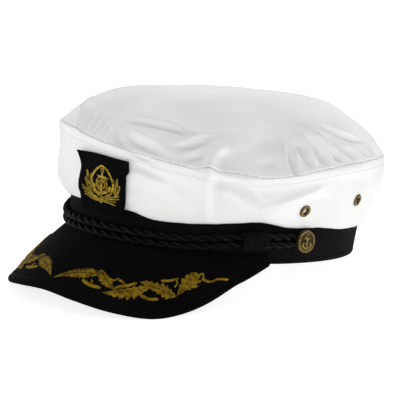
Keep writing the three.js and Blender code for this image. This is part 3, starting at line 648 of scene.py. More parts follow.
creaseRows = [
    # corner of the front
    crease(2.3, 2.5, (-36, 1.18), (-25, 1.11), (-17.5, 1.08), (-14.5, 1.03), (-11.5, 0.985), sharp=True),
    crease(3, -1.8, (-30, 1.2), (-20, 1.135), (-12.5, 1.09), (-9, 1.03)),
    crease(4, 2, (-11.5, 0.97), (-13, 0.84), (-14, 0.64), (-15.5, 0.4), (-17, 0.12)),
    crease(12, 4.6, (-66, 0.3), (-46, 0.24), (-28, 0.3)),
    # pleats above the badge
    crease(1.2, -0.8, (-9.5, 1.035), (-12.8, 1.13)),
    crease(1.1, 0.8, (-7.8, 1.03), (-10.6, 1.13), sharp=True),
    crease(1.2, -0.9, (-6, 1.03), (-8.6, 1.13)),
    crease(1.1, 0.8, (-4.4, 1.03), (-6.6, 1.14), sharp=True),
    crease(1.2, -0.9, (-2.9, 1.03), (-4.9, 1.13)),
    crease(1.1, 0.8, (-1.2, 1.03), (-3, 1.11), sharp=True),
    crease(1.2, -0.8, (0.4, 1.03), (-1.2, 1.1)),
    crease(1.2, -0.7, (2.8, 1.02), (2, 1.09)),
    # hollow of the top
    crease(2.6, 2, (1, 1.09), (1, 1.12), (3, 1.15), (8.5, 1.19), (19, 1.21), (25.5, 1.21), (32.5, 1.19),
           (38.5, 1.18), sharp=True),
    crease(4.2, -3, (5, 1.13), (9, 1.16), (19, 1.18), (26, 1.18), (31, 1.165)),
    crease(3, -2.4, (3.6, 1.1), (5.5, 1.05), (8, 1.03), (12, 1.015)),
    crease(3.2, 2.5, (6.5, 1.11), (14, 1.09), (21.5, 1.08), (27, 1.05)),
    crease(2.4, -1.4, (10, 1.06), (16, 1.05), (23, 1.03)),
    crease(2.4, 2.2, (26, 1.09), (30.5, 1.12), (35, 1.16), (40, 1.19), (50, 1.22), sharp=True),
    crease(4.2, -2.8, (29, 1.08), (34, 1.11), (39, 1.13)),
    crease(2.3, 1.9, (33, 1.06), (37, 1.1), (43, 1.13), (48, 1.15), (52.5, 1.14), (57, 1.11), sharp=True),
    crease(3, -2.2, (33, 1.03), (38, 1.065), (41, 1.075)),
    # the main fold, over the seam and down the side
    crease(4, 4.2, (49, 1.12), (45, 1.1), (43, 1.07), (42.5, 1.04), (42, 1), (41.5, 0.89), (41.5, 0.73),
           (42.5, 0.44), (43.5, 0.06)),
    crease(5, -0.8, (39.3, 1.03), (38.6, 0.9), (38, 0.7), (38, 0.4)),
    crease(2.6, -2.3, (45.6, 0.92), (45.2, 0.78), (45, 0.5), (46, 0.18)),
    crease(2.7, -5.8, (44.5, 0.79), (49.5, 0.81), (55, 0.68), (61.5, 0.42)),
    crease(4.5, 1.6, (50, 0.6), (54, 0.5), (58, 0.34)),
    crease(2.1, 2.6, (62, 0.3), (72, 0.55), (85, 0.72)),
    crease(3.2, -2, (66, 0.12), (75, 0.34), (87, 0.5)),
    crease(3.2, -1.3, (62, 0.56), (72, 0.7), (80, 0.82)),
    # pockets along the seam on the left
    crease(3, 0.6, (54, 1.15), (60.5, 1.24), (68, 1.28)),
    crease(8, -3.4, (56, 1.12), (64, 1.17), (73, 1.19)),
    crease(4.5, -2, (59, 1.06), (67, 1.075)),
    crease(1.5, 2.2, (71.8, 1.15), (70.5, 1.09), (71, 1.01), sharp=True),
    crease(2.2, -3.8, (73, 1.13), (72.8, 1.07), (72.9, 1.005)),
    crease(1.3, 1.4, (74.6, 1.14), (75.2, 1.06), sharp=True),
    crease(2.5, -4.2, (76.8, 1.16), (78, 1.11), (78.6, 1.05)),
    crease(1.7, 2.3, (79.6, 1.2), (80.8, 1.13), (81.3, 1.04)),
    crease(3.3, -5.2, (82.5, 1.16), (84, 1.1), (85.2, 1.035)),
    crease(1.8, 2.1, (86.4, 1.17), (88.2, 1.1), (88, 1.03)),
    crease(1.6, -2.2, (90.4, 1.08), (91, 1.03)),
    crease(1.5, 1.6, (91.4, 1.14), (92.8, 1.08), (94, 1.03)),
    crease(3, -4, (93.6, 1.13), (97, 1.085), (98.8, 1.04)),
    crease(1.7, 2.5, (82.5, 1.26), (90, 1.17), (97.5, 1.1), (103.5, 1.065), sharp=True),
    crease(2.7, -3.7, (92, 1.205), (98, 1.165), (104.5, 1.125), (111.5, 1.095)),
    crease(1.9, 2.2, (87.5, 1.27), (98, 1.2), (107.5, 1.14), (114, 1.09), sharp=True),
    crease(1.8, -1.8, (105.6, 1.07), (108, 1.02)),
    crease(1.5, 1.5, (110.5, 1.09), (111.6, 1.02), sharp=True),
    crease(1.6, -1.6, (115, 1.08), (114.4, 1.01)),
    # side beside the badge
    crease(3, -4.6, (16, 0.79), (21.5, 0.76), (27, 0.72)),
    crease(1.8, 1.9, (15.5, 0.9), (20, 0.88), (27, 0.82), sharp=True),
    crease(1.6, -1.2, (16, 0.97), (19, 0.94), (22, 0.95)),
    crease(2.2, 1.8, (29.4, 0.84), (29.2, 0.62)),
    crease(2.6, 1.8, (17, 0.68), (24, 0.64), (31, 0.6)),
    crease(3.4, 1.3, (15.5, 0.5), (23.5, 0.5), (33, 0.46)),
    crease(4.5, -1.2, (14, 0.3), (20, 0.26), (30, 0.3)),
    crease(3, -1, (29, 0.7), (32, 0.66), (36, 0.56)),
    # broad ridges across the top, and the fuller back
    crease(3.4, 1.3, (34, 1.76), (46.5, 1.73), (64, 1.56), sharp=True),
    crease(4, 1.2, (13, 1.4), (32, 1.56), (56, 1.59)),
    crease(12, 2.2, (116, 0.72), (134, 0.68), (152, 0.7)),
    crease(4, 0.9, (84, 0.93), (96, 0.9), (108, 0.95)),
    crease(4, -0.8, (76, 0.36), (84, 0.2), (92, 0.16)),
    crease(4, -0.9, (96, 0.8), (104, 0.7), (112, 0.74)),
]


def clothScale(turn, level):
    # millimetres for each degree of turn and for each level
    around = np.linalg.norm(crownForm(turn + 0.5, level) - crownForm(turn - 0.5, level), axis=-1)
    up = np.linalg.norm(crownForm(turn, level + 0.01) - crownForm(turn, level - 0.01), axis=-1) / 0.02
    return around, up


def creaseHeight(row, turn, level):
    path = smoothPath(row["path"], 28)
    middle = path[len(path) // 2]
    around, up = (float(value) for value in clothScale(middle[0], middle[1]))
    reach = 4 * row["width"]
    away = (turn - middle[0] + 180) % 360 - 180
    span = np.abs(path - middle).max(0)
    near = (np.abs(away) < span[0] + reach / around) & (np.abs(level - middle[1]) < span[1] + reach / up)
    x, y = away[near] * around, (level[near] - middle[1]) * up
    line = (path - middle) * [around, up]
    start, step = line[:-1], np.diff(line, axis=0)
    t = (x[:, None] - start[:, 0]) * step[:, 0] + (y[:, None] - start[:, 1]) * step[:, 1]
    t = np.clip(t / (step ** 2).sum(1), 0, 1)
    distance = np.hypot(x[:, None] - start[:, 0] - t * step[:, 0], y[:, None] - start[:, 1] - t * step[:, 1])
    nearest = distance.argmin(1)
    picked = np.arange(len(x))
    share = (nearest + t[picked, nearest]) / len(step)
    across = distance[picked, nearest] / row["width"]
    ends = np.sin(np.pi * np.clip(0.08 + 0.84 * share, 0, 1)) ** 0.8
    soft = np.exp(-across ** 2)
    edge = np.exp(-1.5 * (np.sqrt(across ** 2 + 0.05) - 0.22))
    height = np.zeros(turn.shape)
    height[near] = row["height"] * ends * (edge if row["sharp"] else soft)
    return height


def farCreases():
    # pleats and dents of the stretch that the front view doesn't show
    draw = np.random.default_rng(creases["seed"])
    rows = []
    hidden = (118, 322)
    for turn in np.linspace(*hidden, creases["farPleats"]) + draw.uniform(-1.6, 1.6, creases["farPleats"]):
        length = draw.uniform(0.06, 0.2)
        lean = draw.uniform(-5, 5)
        sign = 1 if draw.random() < 0.5 else -1
        rows.append(crease(draw.uniform(1.4, 3.4), sign * draw.uniform(0.7, 2), (turn, 1.012),
                           (turn + lean / 2, 1 + length / 2), (turn + lean, 1 + length), sharp=sign > 0))
    for turn in np.linspace(*hidden, creases["farDents"]) + draw.uniform(-5, 5, creases["farDents"]):
        level = draw.uniform(0.25, 0.85)
        slant = draw.uniform(-0.3, 0.3)
        width = draw.uniform(5, 10)
        sharp = draw.random() < 0.4
        rows.append(crease(
            draw.uniform(2.4, 5), draw.choice([-1.0, 1.0]) * draw.uniform(0.7, 1.7),
            (turn - width, level - slant / 2), (turn, level + 0.04),
            (turn + width, level + slant / 2), sharp=sharp))
    return rows


eyelets = {
    "bore": 1.9, "radius": 4.1, "washer": 3.5, "barrel": 2.4, "lip": 0.8, "gap": 0.5, "calm": 9,
    "liningDepth": 0.6,
}
eyeletRows = [{"name": "front", "turn": 79.2, "level": 0.325}, {"name": "rear", "turn": 104, "level": 0.44}]


def noiseField(points, length, shift):
    scaled = points / length + shift
    flat = [noise.noise(point) for point in scaled.reshape(-1, 3).tolist()]
    return np.array(flat).reshape(points.shape[:-1])


def clothDetail(turn, level):
    # everything finer than the folds: creases, seam, puckers and ripples
    turn, level = np.broadcast_arrays(turn, level)
    form = crownForm(turn, level)
    height = np.zeros(turn.shape)
    for row in creaseRows + farCreases():
        height += creaseHeight(row, turn, level)
    _, up = clothScale(turn, np.where(level <= 1, 0.95, 1.06))
    fromSeam = (level - 1) * up
    near = np.exp(-(fromSeam / creases["puckerReach"]) ** 2)
    place = np.stack([form[..., 0], form[..., 1], form[..., 2] * 0.3], -1)
    height += creases["pucker"] * near * noiseField(place, creases["puckerLength"], 3.7)
    height += 0.5 * creases["pucker"] * near * noiseField(place, creases["puckerLength"] / 2, 8.1)
    hemNear = np.exp(-(level * up / creases["hemReach"]) ** 2) * (level < 1)
    height += creases["hemPucker"] * hemNear * noiseField(place, creases["hemPuckerLength"], 5.3)
    height += creases["ripple"] * noiseField(form, creases["rippleLength"], 1.9)
    height += creases["grain"] * noiseField(form, creases["grainLength"], 6.4)
    for row in eyeletRows:
        for side in (-1, 1):
            seat = crownForm(side * row["turn"], row["level"])
            away = np.linalg.norm(form - seat, axis=-1)
            height *= 1 - np.exp(-(away / eyelets["calm"]) ** 4)
    turned = smoothStep(-fromSeam, 0.4, 1.6) * (1 - smoothStep(-fromSeam, 5.6, creases["allowance"] + 0.4))
    height += creases["allowanceHeight"] * turned
    height -= creases["stitchGroove"] * np.exp(-((fromSeam + rows["topstitchBelowSeam"]) / 0.6) ** 2)
    rolled = smoothStep(fromSeam, 0.3, 1.4) * np.exp(-(fromSeam / creases["topRollReach"]) ** 2)
    height += creases["topRoll"] * rolled * (fromSeam > 0)
    height -= creases["seamGroove"] * np.exp(-(fromSeam / creases["seamGrooveWidth"]) ** 2)
    return height


def crownPoint(turn, level, inset, detail):
    height = foldHeight(turn, level) + detail - inset
    return crownForm(turn, level) + crownNormal(turn, level) * height[..., None]


def offBand(turn, level, detail):
    # where the hem overlaps the band, no crease goes deeper than the gap there
    above = smoothStep(crownForm(turn, level)[..., 2], head["bandHeight"], head["bandHeight"] + 8)
    return np.maximum(detail, -0.2 - 8 * above)


clothGrid = {"turns": 600, "sideRows": 54, "topRows": 74}
clothTurns = allRound(clothGrid["turns"])


def clothLoops(levels):
    # loops up the outside and down the inside, so the cloth has the same creases on both faces
    turn, level = np.meshgrid(clothTurns, levels, indexing="ij")
    detail = offBand(turn, level, clothDetail(turn, level))
    outside = crownPoint(turn, level, 0, detail)
    inside = crownPoint(turn, level, crown["clothWall"], detail)[:, ::-1]
    shade = seamShade(turn, level)
    marks = {"seamShade": np.concatenate([shade, np.zeros(shade.shape)], 1)}
    return outside, inside, marks


def seamShade(turn, level):
    # painted shade in the seam's groove, in dashes like its stitches, and painted shade between the
    # topstitches
    around, up = clothScale(turn, np.where(level <= 1, 0.95, 1.06))
    fromSeam = (level - 1) * up
    along = np.radians(turn) * np.degrees(around)
    stitched = 0.6 + 0.4 * np.sin(along * 2 * math.pi / rows["seamPitch"] + 2 * np.sin(turn))
    seam = 0.95 * np.exp(-(fromSeam / 0.36) ** 2) * stitched
    topstitch = 0.55 * np.exp(-((fromSeam + rows["topstitchBelowSeam"]) / 0.4) ** 2)
    holes = np.clip(np.cos(along * 2 * math.pi / rows["topstitchPitch"]), 0, 1)
    return np.clip(seam + topstitch * holes, 0, 1)


def sideHoles(outside, size):
    # cells that the eyelets' barrels pass through
    holes = np.zeros((outside.shape[0], size), bool)
    rows = outside.shape[1]
    middle = (outside + np.roll(outside, -1, 0))[:, :-1] / 2
    middle = (middle + (outside + np.roll(outside, -1, 0))[:, 1:] / 2) / 2
    for row in eyeletRows:
        for side in (-1, 1):
            seat = crownPoint(side * row["turn"], np.array(row["level"]), 0, 0)
            within = np.linalg.norm(middle - seat, axis=-1) < eyelets["barrel"] + 0.2
            holes[:, :rows - 1] |= within
    holes[:, rows:size - 1] = holes[:, :rows - 1][:, ::-1]
    return holes


def makeCrownSide():
    levels = 1 - (1 - np.linspace(0, 1, clothGrid["sideRows"])) ** 1.15
    levels = np.minimum(levels, 0.9998)
    outside, inside, marks = clothLoops(levels)
    roll = creases["hemRoll"] * np.exp(-(levels * 50 / 0.8) ** 2)
    outside -= outward(clothTurns)[:, None, :] * roll[None, :, None]
    loops = np.concatenate([outside, inside], 1)
    size = loops.shape[1]
    around, _ = clothScale(clothTurns, 0.6)
    along = np.concatenate([[0], np.cumsum(around * 360 / len(clothTurns))])
    heights = np.concatenate([levels * 50, 60 + levels * 50, [0]])
    mapAt = np.stack(np.meshgrid(along, heights, indexing="ij"), -1)
    holes = sideHoles(outside, size)
    return buildMesh("crownSide", [sweepBody(loops, True, mapAt, marks, holes)])


def makeCrownTop():
    spread = np.linspace(0, 1, clothGrid["topRows"])
    levels = 1.0002 + 0.9986 * (0.42 * spread + 0.58 * spread ** 2.4)
    levels = np.append(levels, 1.9996)
    outside, inside, marks = clothLoops(levels)
    loops = np.concatenate([outside, inside], 1)
    mapAt = np.concatenate([loops, loops[:1]])[..., :2]
    mapAt = np.concatenate([mapAt, mapAt[:, :1]], 1)
    return buildMesh("crownTop", [sweepBody(loops, True, mapAt, marks)])


addPiece("crownSide", makeCrownSide(), whiteCotton, "white_cotton", "crown_side")
addPiece("crownTop", makeCrownTop(), whiteCotton, "white_cotton", "crown_top")
print("crown sewn")

# Band

bandShape = {"turns": 288, "rimRound": 0.7, "rows": 26}


def makeBand():
    turns = allRound(bandShape["turns"])
    heights = np.linspace(0, head["bandHeight"], bandShape["rows"])
    heights = np.concatenate([[0, 0.25, 0.7], heights[1:]])
    rounded = bandShape["rimRound"] * np.clip(1 - heights / bandShape["rimRound"], 0, 1) ** 2
    outer = bandFace(turns[:, None], heights[None, :])
    out = outward(turns)[:, None, :]
    face = outer - out * rounded[None, :, None]
    back = (outer - out * (head["bandWall"] - rounded)[None, :, None])[:, ::-1]
    loops = np.concatenate([face, back], 1)
    along = np.linspace(0, 600, len(turns) + 1)
    up = np.concatenate([heights, heights[::-1] + 40, [0]])
    mapAt = np.stack(np.meshgrid(along, up, indexing="ij"), -1)
    return buildMesh("band", [sweepBody(loops, True, mapAt)])


addPiece("bandRing", makeBand(), bandTwill, "band_twill", "band")
print("band wound")

# Peak

peakShape = {"turns": 220, "rows": 44, "edgeRows": 7}


def makePeak():
    turns = np.linspace(-peak["halfTurn"], peak["halfTurn"], peakShape["turns"])
    depths = 1 - np.linspace(1, 0, peakShape["rows"]) ** 1.3
    under = peakPoint(turns[:, None], depths[None, :])
    over = under[:, ::-1] + [0, 0, peak["wall"]]
    arc = np.radians(np.linspace(-90, 90, peakShape["edgeRows"] + 2)[1:-1])
    middle = (under[:, -1] + over[:, 0]) / 2
    out = outward(turns)
    edge = (middle[:, None] + out[:, None] * (peak["edgeRound"] * np.cos(arc))[None, :, None]
            + np.array([0, 0, 1]) * (peak["wall"] / 2 * np.sin(arc))[None, :, None])
    loops = np.concatenate([under, edge, over], 1)
    return buildMesh("peak", [sweepBody(loops)])


addPiece("peakBoard", makePeak(), peakFelt, "peak_felt", "peak")
print("peak covered")

# Geometry Nodes trees


def polyline(name, paths, closed=False):
    # a curve object through world points, one spline for each path
    curve = bpy.data.curves.new(name, "CURVE")
    curve.dimensions = "3D"
    for path in paths:
        spline = curve.splines.new("POLY")
        spline.points.add(len(path) - 1)
        flat = np.concatenate([np.asarray(path, float), np.ones((len(path), 1))], 1)
        spline.points.foreach_set("co", flat.astype(np.float32).ravel())
        spline.use_cyclic_u = closed
    thing = bpy.data.objects.new(name, curve)
    scene.collection.objects.link(thing)
    return thing


def runTree(thing, tree, values):
    # the tree's result as a plain mesh; the curve that it read is deleted
    modifier = thing.modifiers.new(tree.name, "NODES")
    modifier.node_group = tree
    for item in tree.interface.items_tree:
        if item.item_type == "SOCKET" and item.in_out == "INPUT" and item.name in values:
            modifier[item.identifier] = values[item.name]
    bpy.context.view_layer.update()
    graph = bpy.context.evaluated_depsgraph_get()
    mesh = bpy.data.meshes.new_from_object(thing.evaluated_get(graph), depsgraph=graph)
    mesh.name = thing.name
    data = thing.data
    bpy.data.objects.remove(thing)
    bpy.data.curves.remove(data)
    return mesh


def storeMap(tree, geometry, along, around):
    both = addNode(tree, "ShaderNodeCombineXYZ", {"X": along, "Y": around})
    return addNode(tree, "GeometryNodeStoreNamedAttribute", {
        "Geometry": geometry, "Name": "cloth", "Value": both},
        data_type="FLOAT2", domain="CORNER").outputs["Geometry"]


def makeCordTree():
    # strands wound round each other along a curve
    tree, source, sink = newGroup("twisted cord", "GeometryNodeTree", {
        "Geometry": "Geometry", "Strands": "Int", "Lay": "Float", "Winding": "Float", "Strand": "Float",
        "Step": "Float", "Sides": "Int", "Material": "Material"}, {"Geometry": "Geometry"})
    even = addNode(tree, "GeometryNodeResampleCurve", {
        "Curve": source.outputs["Geometry"], "Length": source.outputs["Step"]}, mode="LENGTH")
    copies = addNode(tree, "GeometryNodeDuplicateElements", {
        "Geometry": even, "Amount": source.outputs["Strands"]}, domain="SPLINE")
    place = tree.nodes.new("GeometryNodeSplineParameter")
    turns = calc(tree, "DIVIDE", place.outputs["Length"], source.outputs["Lay"])
    share = calc(tree, "DIVIDE", copies.outputs["Duplicate Index"], source.outputs["Strands"])
    total = calc(tree, "ADD", turns, share)
    angle = calc(tree, "MULTIPLY", total, 2 * math.pi)
    normal = tree.nodes.new("GeometryNodeInputNormal")
    tangent = tree.nodes.new("GeometryNodeInputTangent")
    spun = addNode(tree, "ShaderNodeVectorRotate", {
        "Vector": normal, "Axis": tangent,
        "Angle": angle}, rotation_type="AXIS_ANGLE")
    offset = addNode(tree, "ShaderNodeVectorMath", {
        0: spun, "Scale": source.outputs["Winding"]}, operation="SCALE")
    wound = addNode(tree, "GeometryNodeSetPosition", {"Geometry": copies, "Offset": offset})
    along = addNode(tree, "GeometryNodeCaptureAttribute", {"Geometry": wound},
                    domain="POINT")
    along.capture_items.new("FLOAT", "Along")
    feed(tree, along, {"Along": place.outputs["Length"]})
    section = addNode(tree, "GeometryNodeCurvePrimitiveCircle", {
        "Resolution": source.outputs["Sides"], "Radius": source.outputs["Strand"]}, mode="RADIUS")
    around = addNode(tree, "GeometryNodeCaptureAttribute", {"Geometry": section},
                     domain="POINT")
    around.capture_items.new("FLOAT", "Around")
    feed(tree, around, {"Around": place.outputs["Factor"]})
    body = addNode(tree, "GeometryNodeCurveToMesh", {
        "Curve": along.outputs["Geometry"], "Profile Curve": around.outputs["Geometry"], "Fill Caps": True})
    inMillimetres = calc(tree, "MULTIPLY", along.outputs["Along"], 1000.0)
    slanted = calc(tree, "MULTIPLY_ADD", around.outputs["Around"], 3.0, inMillimetres)
    mapped = storeMap(tree, body, slanted, around.outputs["Around"])
    smooth = addNode(tree, "GeometryNodeSetShadeSmooth", {"Geometry": mapped})
    real = addNode(tree, "GeometryNodeRealizeInstances", {"Geometry": smooth})
    final = addNode(tree, "GeometryNodeSetMaterial", {
        "Geometry": real, "Material": source.outputs["Material"]})
    feed(tree, sink, {"Geometry": final})
    return tree


def makeStitchTree():
    # short threads laid end to end along a curve
    tree, source, sink = newGroup("stitches", "GeometryNodeTree", {
        "Geometry": "Geometry", "Pitch": "Float", "Length": "Float", "Thread": "Float",
        "Material": "Material"}, {"Geometry": "Geometry"})
    spots = addNode(tree, "GeometryNodeCurveToPoints", {
        "Curve": source.outputs["Geometry"], "Length": source.outputs["Pitch"]}, mode="LENGTH")
    straight = calc(tree, "SUBTRACT", source.outputs["Length"], source.outputs["Thread"])
    rod = addNode(tree, "GeometryNodeMeshUVSphere", {
        "Segments": 8, "Rings": 6, "Radius": source.outputs["Thread"]})
    place = tree.nodes.new("GeometryNodeInputPosition")
    parts = addNode(tree, "ShaderNodeSeparateXYZ", {"Vector": place})
    sign = calc(tree, "SIGN", parts.outputs["Z"])
    half = calc(tree, "MULTIPLY", straight, 0.5)
    push = calc(tree, "MULTIPLY", sign, half)
    shift = addNode(tree, "ShaderNodeCombineXYZ", {"Z": push})
    capsule = addNode(tree, "GeometryNodeSetPosition", {"Geometry": rod, "Offset": shift})
    aim = addNode(tree, "FunctionNodeAlignRotationToVector", {"Vector": spots.outputs["Tangent"]}, axis="Z")
    sewn = addNode(tree, "GeometryNodeInstanceOnPoints", {
        "Points": spots, "Instance": capsule,
        "Rotation": aim})
    real = addNode(tree, "GeometryNodeRealizeInstances", {"Geometry": sewn})
    smooth = addNode(tree, "GeometryNodeSetShadeSmooth", {"Geometry": real})
    mapped = storeMap(tree, smooth, parts.outputs["X"], parts.outputs["Y"])
    final = addNode(tree, "GeometryNodeSetMaterial", {
        "Geometry": mapped, "Material": source.outputs["Material"]})
    feed(tree, sink, {"Geometry": final})
    return tree


cordTree, stitchTree = makeCordTree(), makeStitchTree()

# Cords, keepers and their windings

cords = {
    "diameter": 4.8, "lift": 11.4, "rise": 4.4, "riseFrom": 28, "riseTo": 68, "spacing": 5.1,
    "pinch": 0.55, "endSlack": 3.1, "settle": 0.8,
    "strands": 2, "lay": 17.2, "step": 0.8, "sides": 12,
}
keepers = {"turn": 62, "length": 16, "wall": 0.8, "thread": 0.72, "windings": 11}
buttons = {
    "turn": 82, "radius": 7.4, "height": 3.4, "lift": 4.4, "shank": 2.5,
}
cordStandoff = head["seatGap"] + keepers["wall"] + head["seatGap"] + cords["diameter"] / 2


def turnFor(length, turn):
    step = bandFace(turn + 0.5, cords["lift"]) - bandFace(turn - 0.5, cords["lift"])
    return length / float(np.linalg.norm(step))


def cordHeight(turn):
    # midway between the two cords: they hang lower at the front
    return cords["lift"] + cords["rise"] * smoothStep(np.abs(turn), cords["riseFrom"], cords["riseTo"])


def cordPath(side):
    end = buttons["turn"] - turnFor(cords["endSlack"], buttons["turn"])
    turns = np.linspace(-end, end, 220)
    free = smoothStep((end - np.abs(turns)) / turnFor(buttons["radius"], buttons["turn"]), 0.6, 1.6)
    thick = cords["pinch"] + (1 - cords["pinch"]) * free
    pinched = head["seatGap"] + thick * cords["diameter"] / 2
    held = np.exp(-((np.abs(turns) - keepers["turn"]) / 9) ** 4)
    loose = cordStandoff - cords["settle"] * (1 - held)
    standoff = pinched * (1 - free) + loose * free
    height = cordHeight(turns) + side * cords["spacing"] / 2
    return bandFace(turns, height) + outward(turns) * standoff[:, None]


def makeCord(name, side):
    path = cordPath(side)
    line = polyline(name, [toWorld(path)])
    radius = cords["diameter"] / 2
    strand = radius / cords["strands"]
    return runTree(line, cordTree, {
        "Strands": cords["strands"], "Lay": cords["lay"] * mm, "Winding": (radius - strand) * mm,
        "Strand": strand * mm, "Step": cords["step"] * mm, "Sides": cords["sides"], "Material": cordThread})


for title, node, side in (("cordUpper", "cord_upper", 1), ("cordLower", "cord_lower", -1)):
    addPiece(title, makeCord(title, side), cordThread, "cord_braid", node)


def makeKeeper(name, turn):
    # thread wound side by side round both cords
    halfTurn = turnFor(keepers["length"] / 2 - keepers["thread"], turn)
    radius = cords["diameter"] / 2 + head["seatGap"] + keepers["wall"] - keepers["thread"]
    angles = np.concatenate([np.linspace(0, 180, 14), np.linspace(180, 360, 14)])
    half = np.repeat([1, -1], 14)
    paths = []
    for place in np.linspace(turn - halfTurn, turn + halfTurn, keepers["windings"]):
        out = outward(place) * (cordStandoff + radius * np.cos(np.radians(angles)))[:, None]
        loop = bandFace(place, cordHeight(place)) + out
        loop[:, 2] = cordHeight(place) + radius * np.sin(np.radians(angles)) + half * cords["spacing"] / 2
        paths.append(toWorld(loop))
    line = polyline(name, paths, closed=True)
    return runTree(line, cordTree, {
        "Strands": 1, "Lay": 1.0, "Winding": 0.0, "Strand": keepers["thread"] * mm,
        "Step": 0.9 * mm, "Sides": 8, "Material": cordThread})


for name, side in sides.items():
    title = "keeper" + name.capitalize()
    addPiece(title, makeKeeper(title, side * keepers["turn"]), cordThread, "cord_braid", f"keeper_{name}")
print("cords twisted and held")

# Buttons

buttonFace = {
    "turns": 96, "rings": 46, "dome": 0.5, "rim": 0.9, "rimWidth": 0.85, "hollow": 0.35,
    "relief": 0.42, "soft": 0.16, "rope": 1.15,
}


def segmentDistance(x, y, start, end):
    (ax, ay), (bx, by) = start, end
    t = np.clip(((x - ax) * (bx - ax) + (y - ay) * (by - ay)) / ((bx - ax) ** 2 + (by - ay) ** 2), 0, 1)
    return np.hypot(x - ax - t * (bx - ax), y - ay - t * (by - ay))


def pathDistance(x, y, path):
    return np.minimum.reduce([segmentDistance(x, y, a, b) for a, b in zip(path, path[1:])])


def arcPath(x, y, radius, start, end, steps=14):
    angles = np.radians(np.linspace(start, end, steps))
    return [(x + radius * math.cos(a), y + radius * math.sin(a)) for a in angles]


def anchorHeight(x, y):
    # a fouled anchor in low relief, 10 mm tall, with its rope wound about the shank
    soft = buttonFace["soft"]

    def raised(distance, half):
        return smoothStep(half + soft - distance, 0, 2 * soft)

    shank = raised(segmentDistance(x, y, (0, -4.4), (0, 3.2)), 0.42)
    ring = raised(np.abs(np.hypot(x, y - 4.2) - 0.85), 0.22)
    stock = raised(segmentDistance(x, y, (-2.3, 2.2), (2.3, 2.2)), 0.36)
    arms = raised(pathDistance(x, y, arcPath(0, -0.7, 3.7, 205, 335)), 0.46)
    flukes = [raised(segmentDistance(x, y, (side * 3.9, -2.6), (side * 2.9, -1.1)), 0.55) for side in (-1, 1)]
    swing = [(1.9 * math.sin(t * 1.25 + 0.6) * (1 - 0.05 * t), 4.4 - t) for t in np.linspace(0, 8.6, 40)]
    distance = pathDistance(x, y, swing)
    strand = raised(distance, 0.28) * (0.75 + 0.25 * np.sin((x + y) * 7))
    return np.maximum.reduce([shank, ring, stock, arms, *flukes, 0.8 * strand])


def buttonBody(turn):
    shape = buttonFace
    angles = fullCircle(shape["turns"])
    radii = buttons["radius"] * (1 - np.linspace(0, 1, shape["rings"]) * 0.995)
    x, y = radii * np.cos(angles)[:, None], radii * np.sin(angles)[:, None]
    share = radii / buttons["radius"]
    onRim = np.exp(-((share - shape["rim"]) * buttons["radius"] / (shape["rimWidth"] / 2)) ** 4)
    rope = 0.82 + 0.18 * np.cos(30 * angles[:, None] + 7 * (share - shape["rim"]) * buttons["radius"])
    inner = share < 0.8
    field = anchorHeight(x, y) * inner
    beads = 0.5 + 0.5 * np.cos(52 * angles[:, None])
    beads = beads * np.exp(-((share - 0.79) * buttons["radius"] / 0.28) ** 2)
    base = shape["dome"] * (1 - share ** 2) - shape["hollow"]
    base = base + (shape["hollow"] + 0.25) * onRim * rope + 0.22 * beads
    speckle = 0.07 * noiseField(np.stack([x, y, 0 * x], -1), 0.7, turn)
    face = base + shape["relief"] * field + speckle * inner
    edge = smoothStep(share, 0.94, 1.0)
    top = buttons["lift"] + buttons["height"] * 0.88 + face * (1 - edge) - 1.5 * edge
    relief = np.clip(np.maximum(np.maximum(0.85 * field, onRim * rope), beads) + 0.06 + 3 * speckle, 0, 1)
    profile = [(0.995, 0.42), (0.95, 0.12), (0.86, 0), (0.4, 0), (0.32, -0.06), (0.32, -1.2)]
    back = [(buttons["radius"] * r, buttons["lift"] + buttons["height"] * h) for r, h in profile]
    back[-1] = (buttons["shank"], head["seatGap"])
    radiiBack, liftBack = np.array(back).T
    allX = np.concatenate([x[:, ::-1], np.cos(angles)[:, None] * radiiBack], 1)
    allY = np.concatenate([y[:, ::-1], np.sin(angles)[:, None] * radiiBack], 1)
    lift = np.concatenate([top[:, ::-1], np.repeat(liftBack[None], len(angles), 0)], 1)
    dark = np.concatenate([relief[:, ::-1], np.full((len(angles), len(back)), 0.5)], 1)
    out, down = outward(turn), np.array([0.0, 0, -1])
    side = np.cross(out, down)
    loops = (bandFace(turn, cordHeight(turn)) + out * lift[..., None] - side * allX[..., None]
             - down * allY[..., None])
    return sweepBody(loops, True, None, {"relief": dark})


for name, side in sides.items():
    mesh = buildMesh(f"button{name.capitalize()}", [buttonBody(side * buttons["turn"])])
    addPiece(f"button{name.capitalize()}", mesh, agedBrass, "aged_brass", f"button_{name}")
print("buttons struck")

# Eyelets


def turnOnCrown(turn, level, angles, section):
    # a section of radii and heights, turned about the crown's own normal
    up = crownNormal(turn, np.array(level))
    side = unit(np.cross(up, [0, 0, 1]))
    ring = np.cos(angles)[:, None, None] * side + np.sin(angles)[:, None, None] * np.cross(side, up)
    seat = crownPoint(turn, np.array(level), 0, 0)
    return seat + ring * section[None, :, :1] + up * section[None, :, 1:]


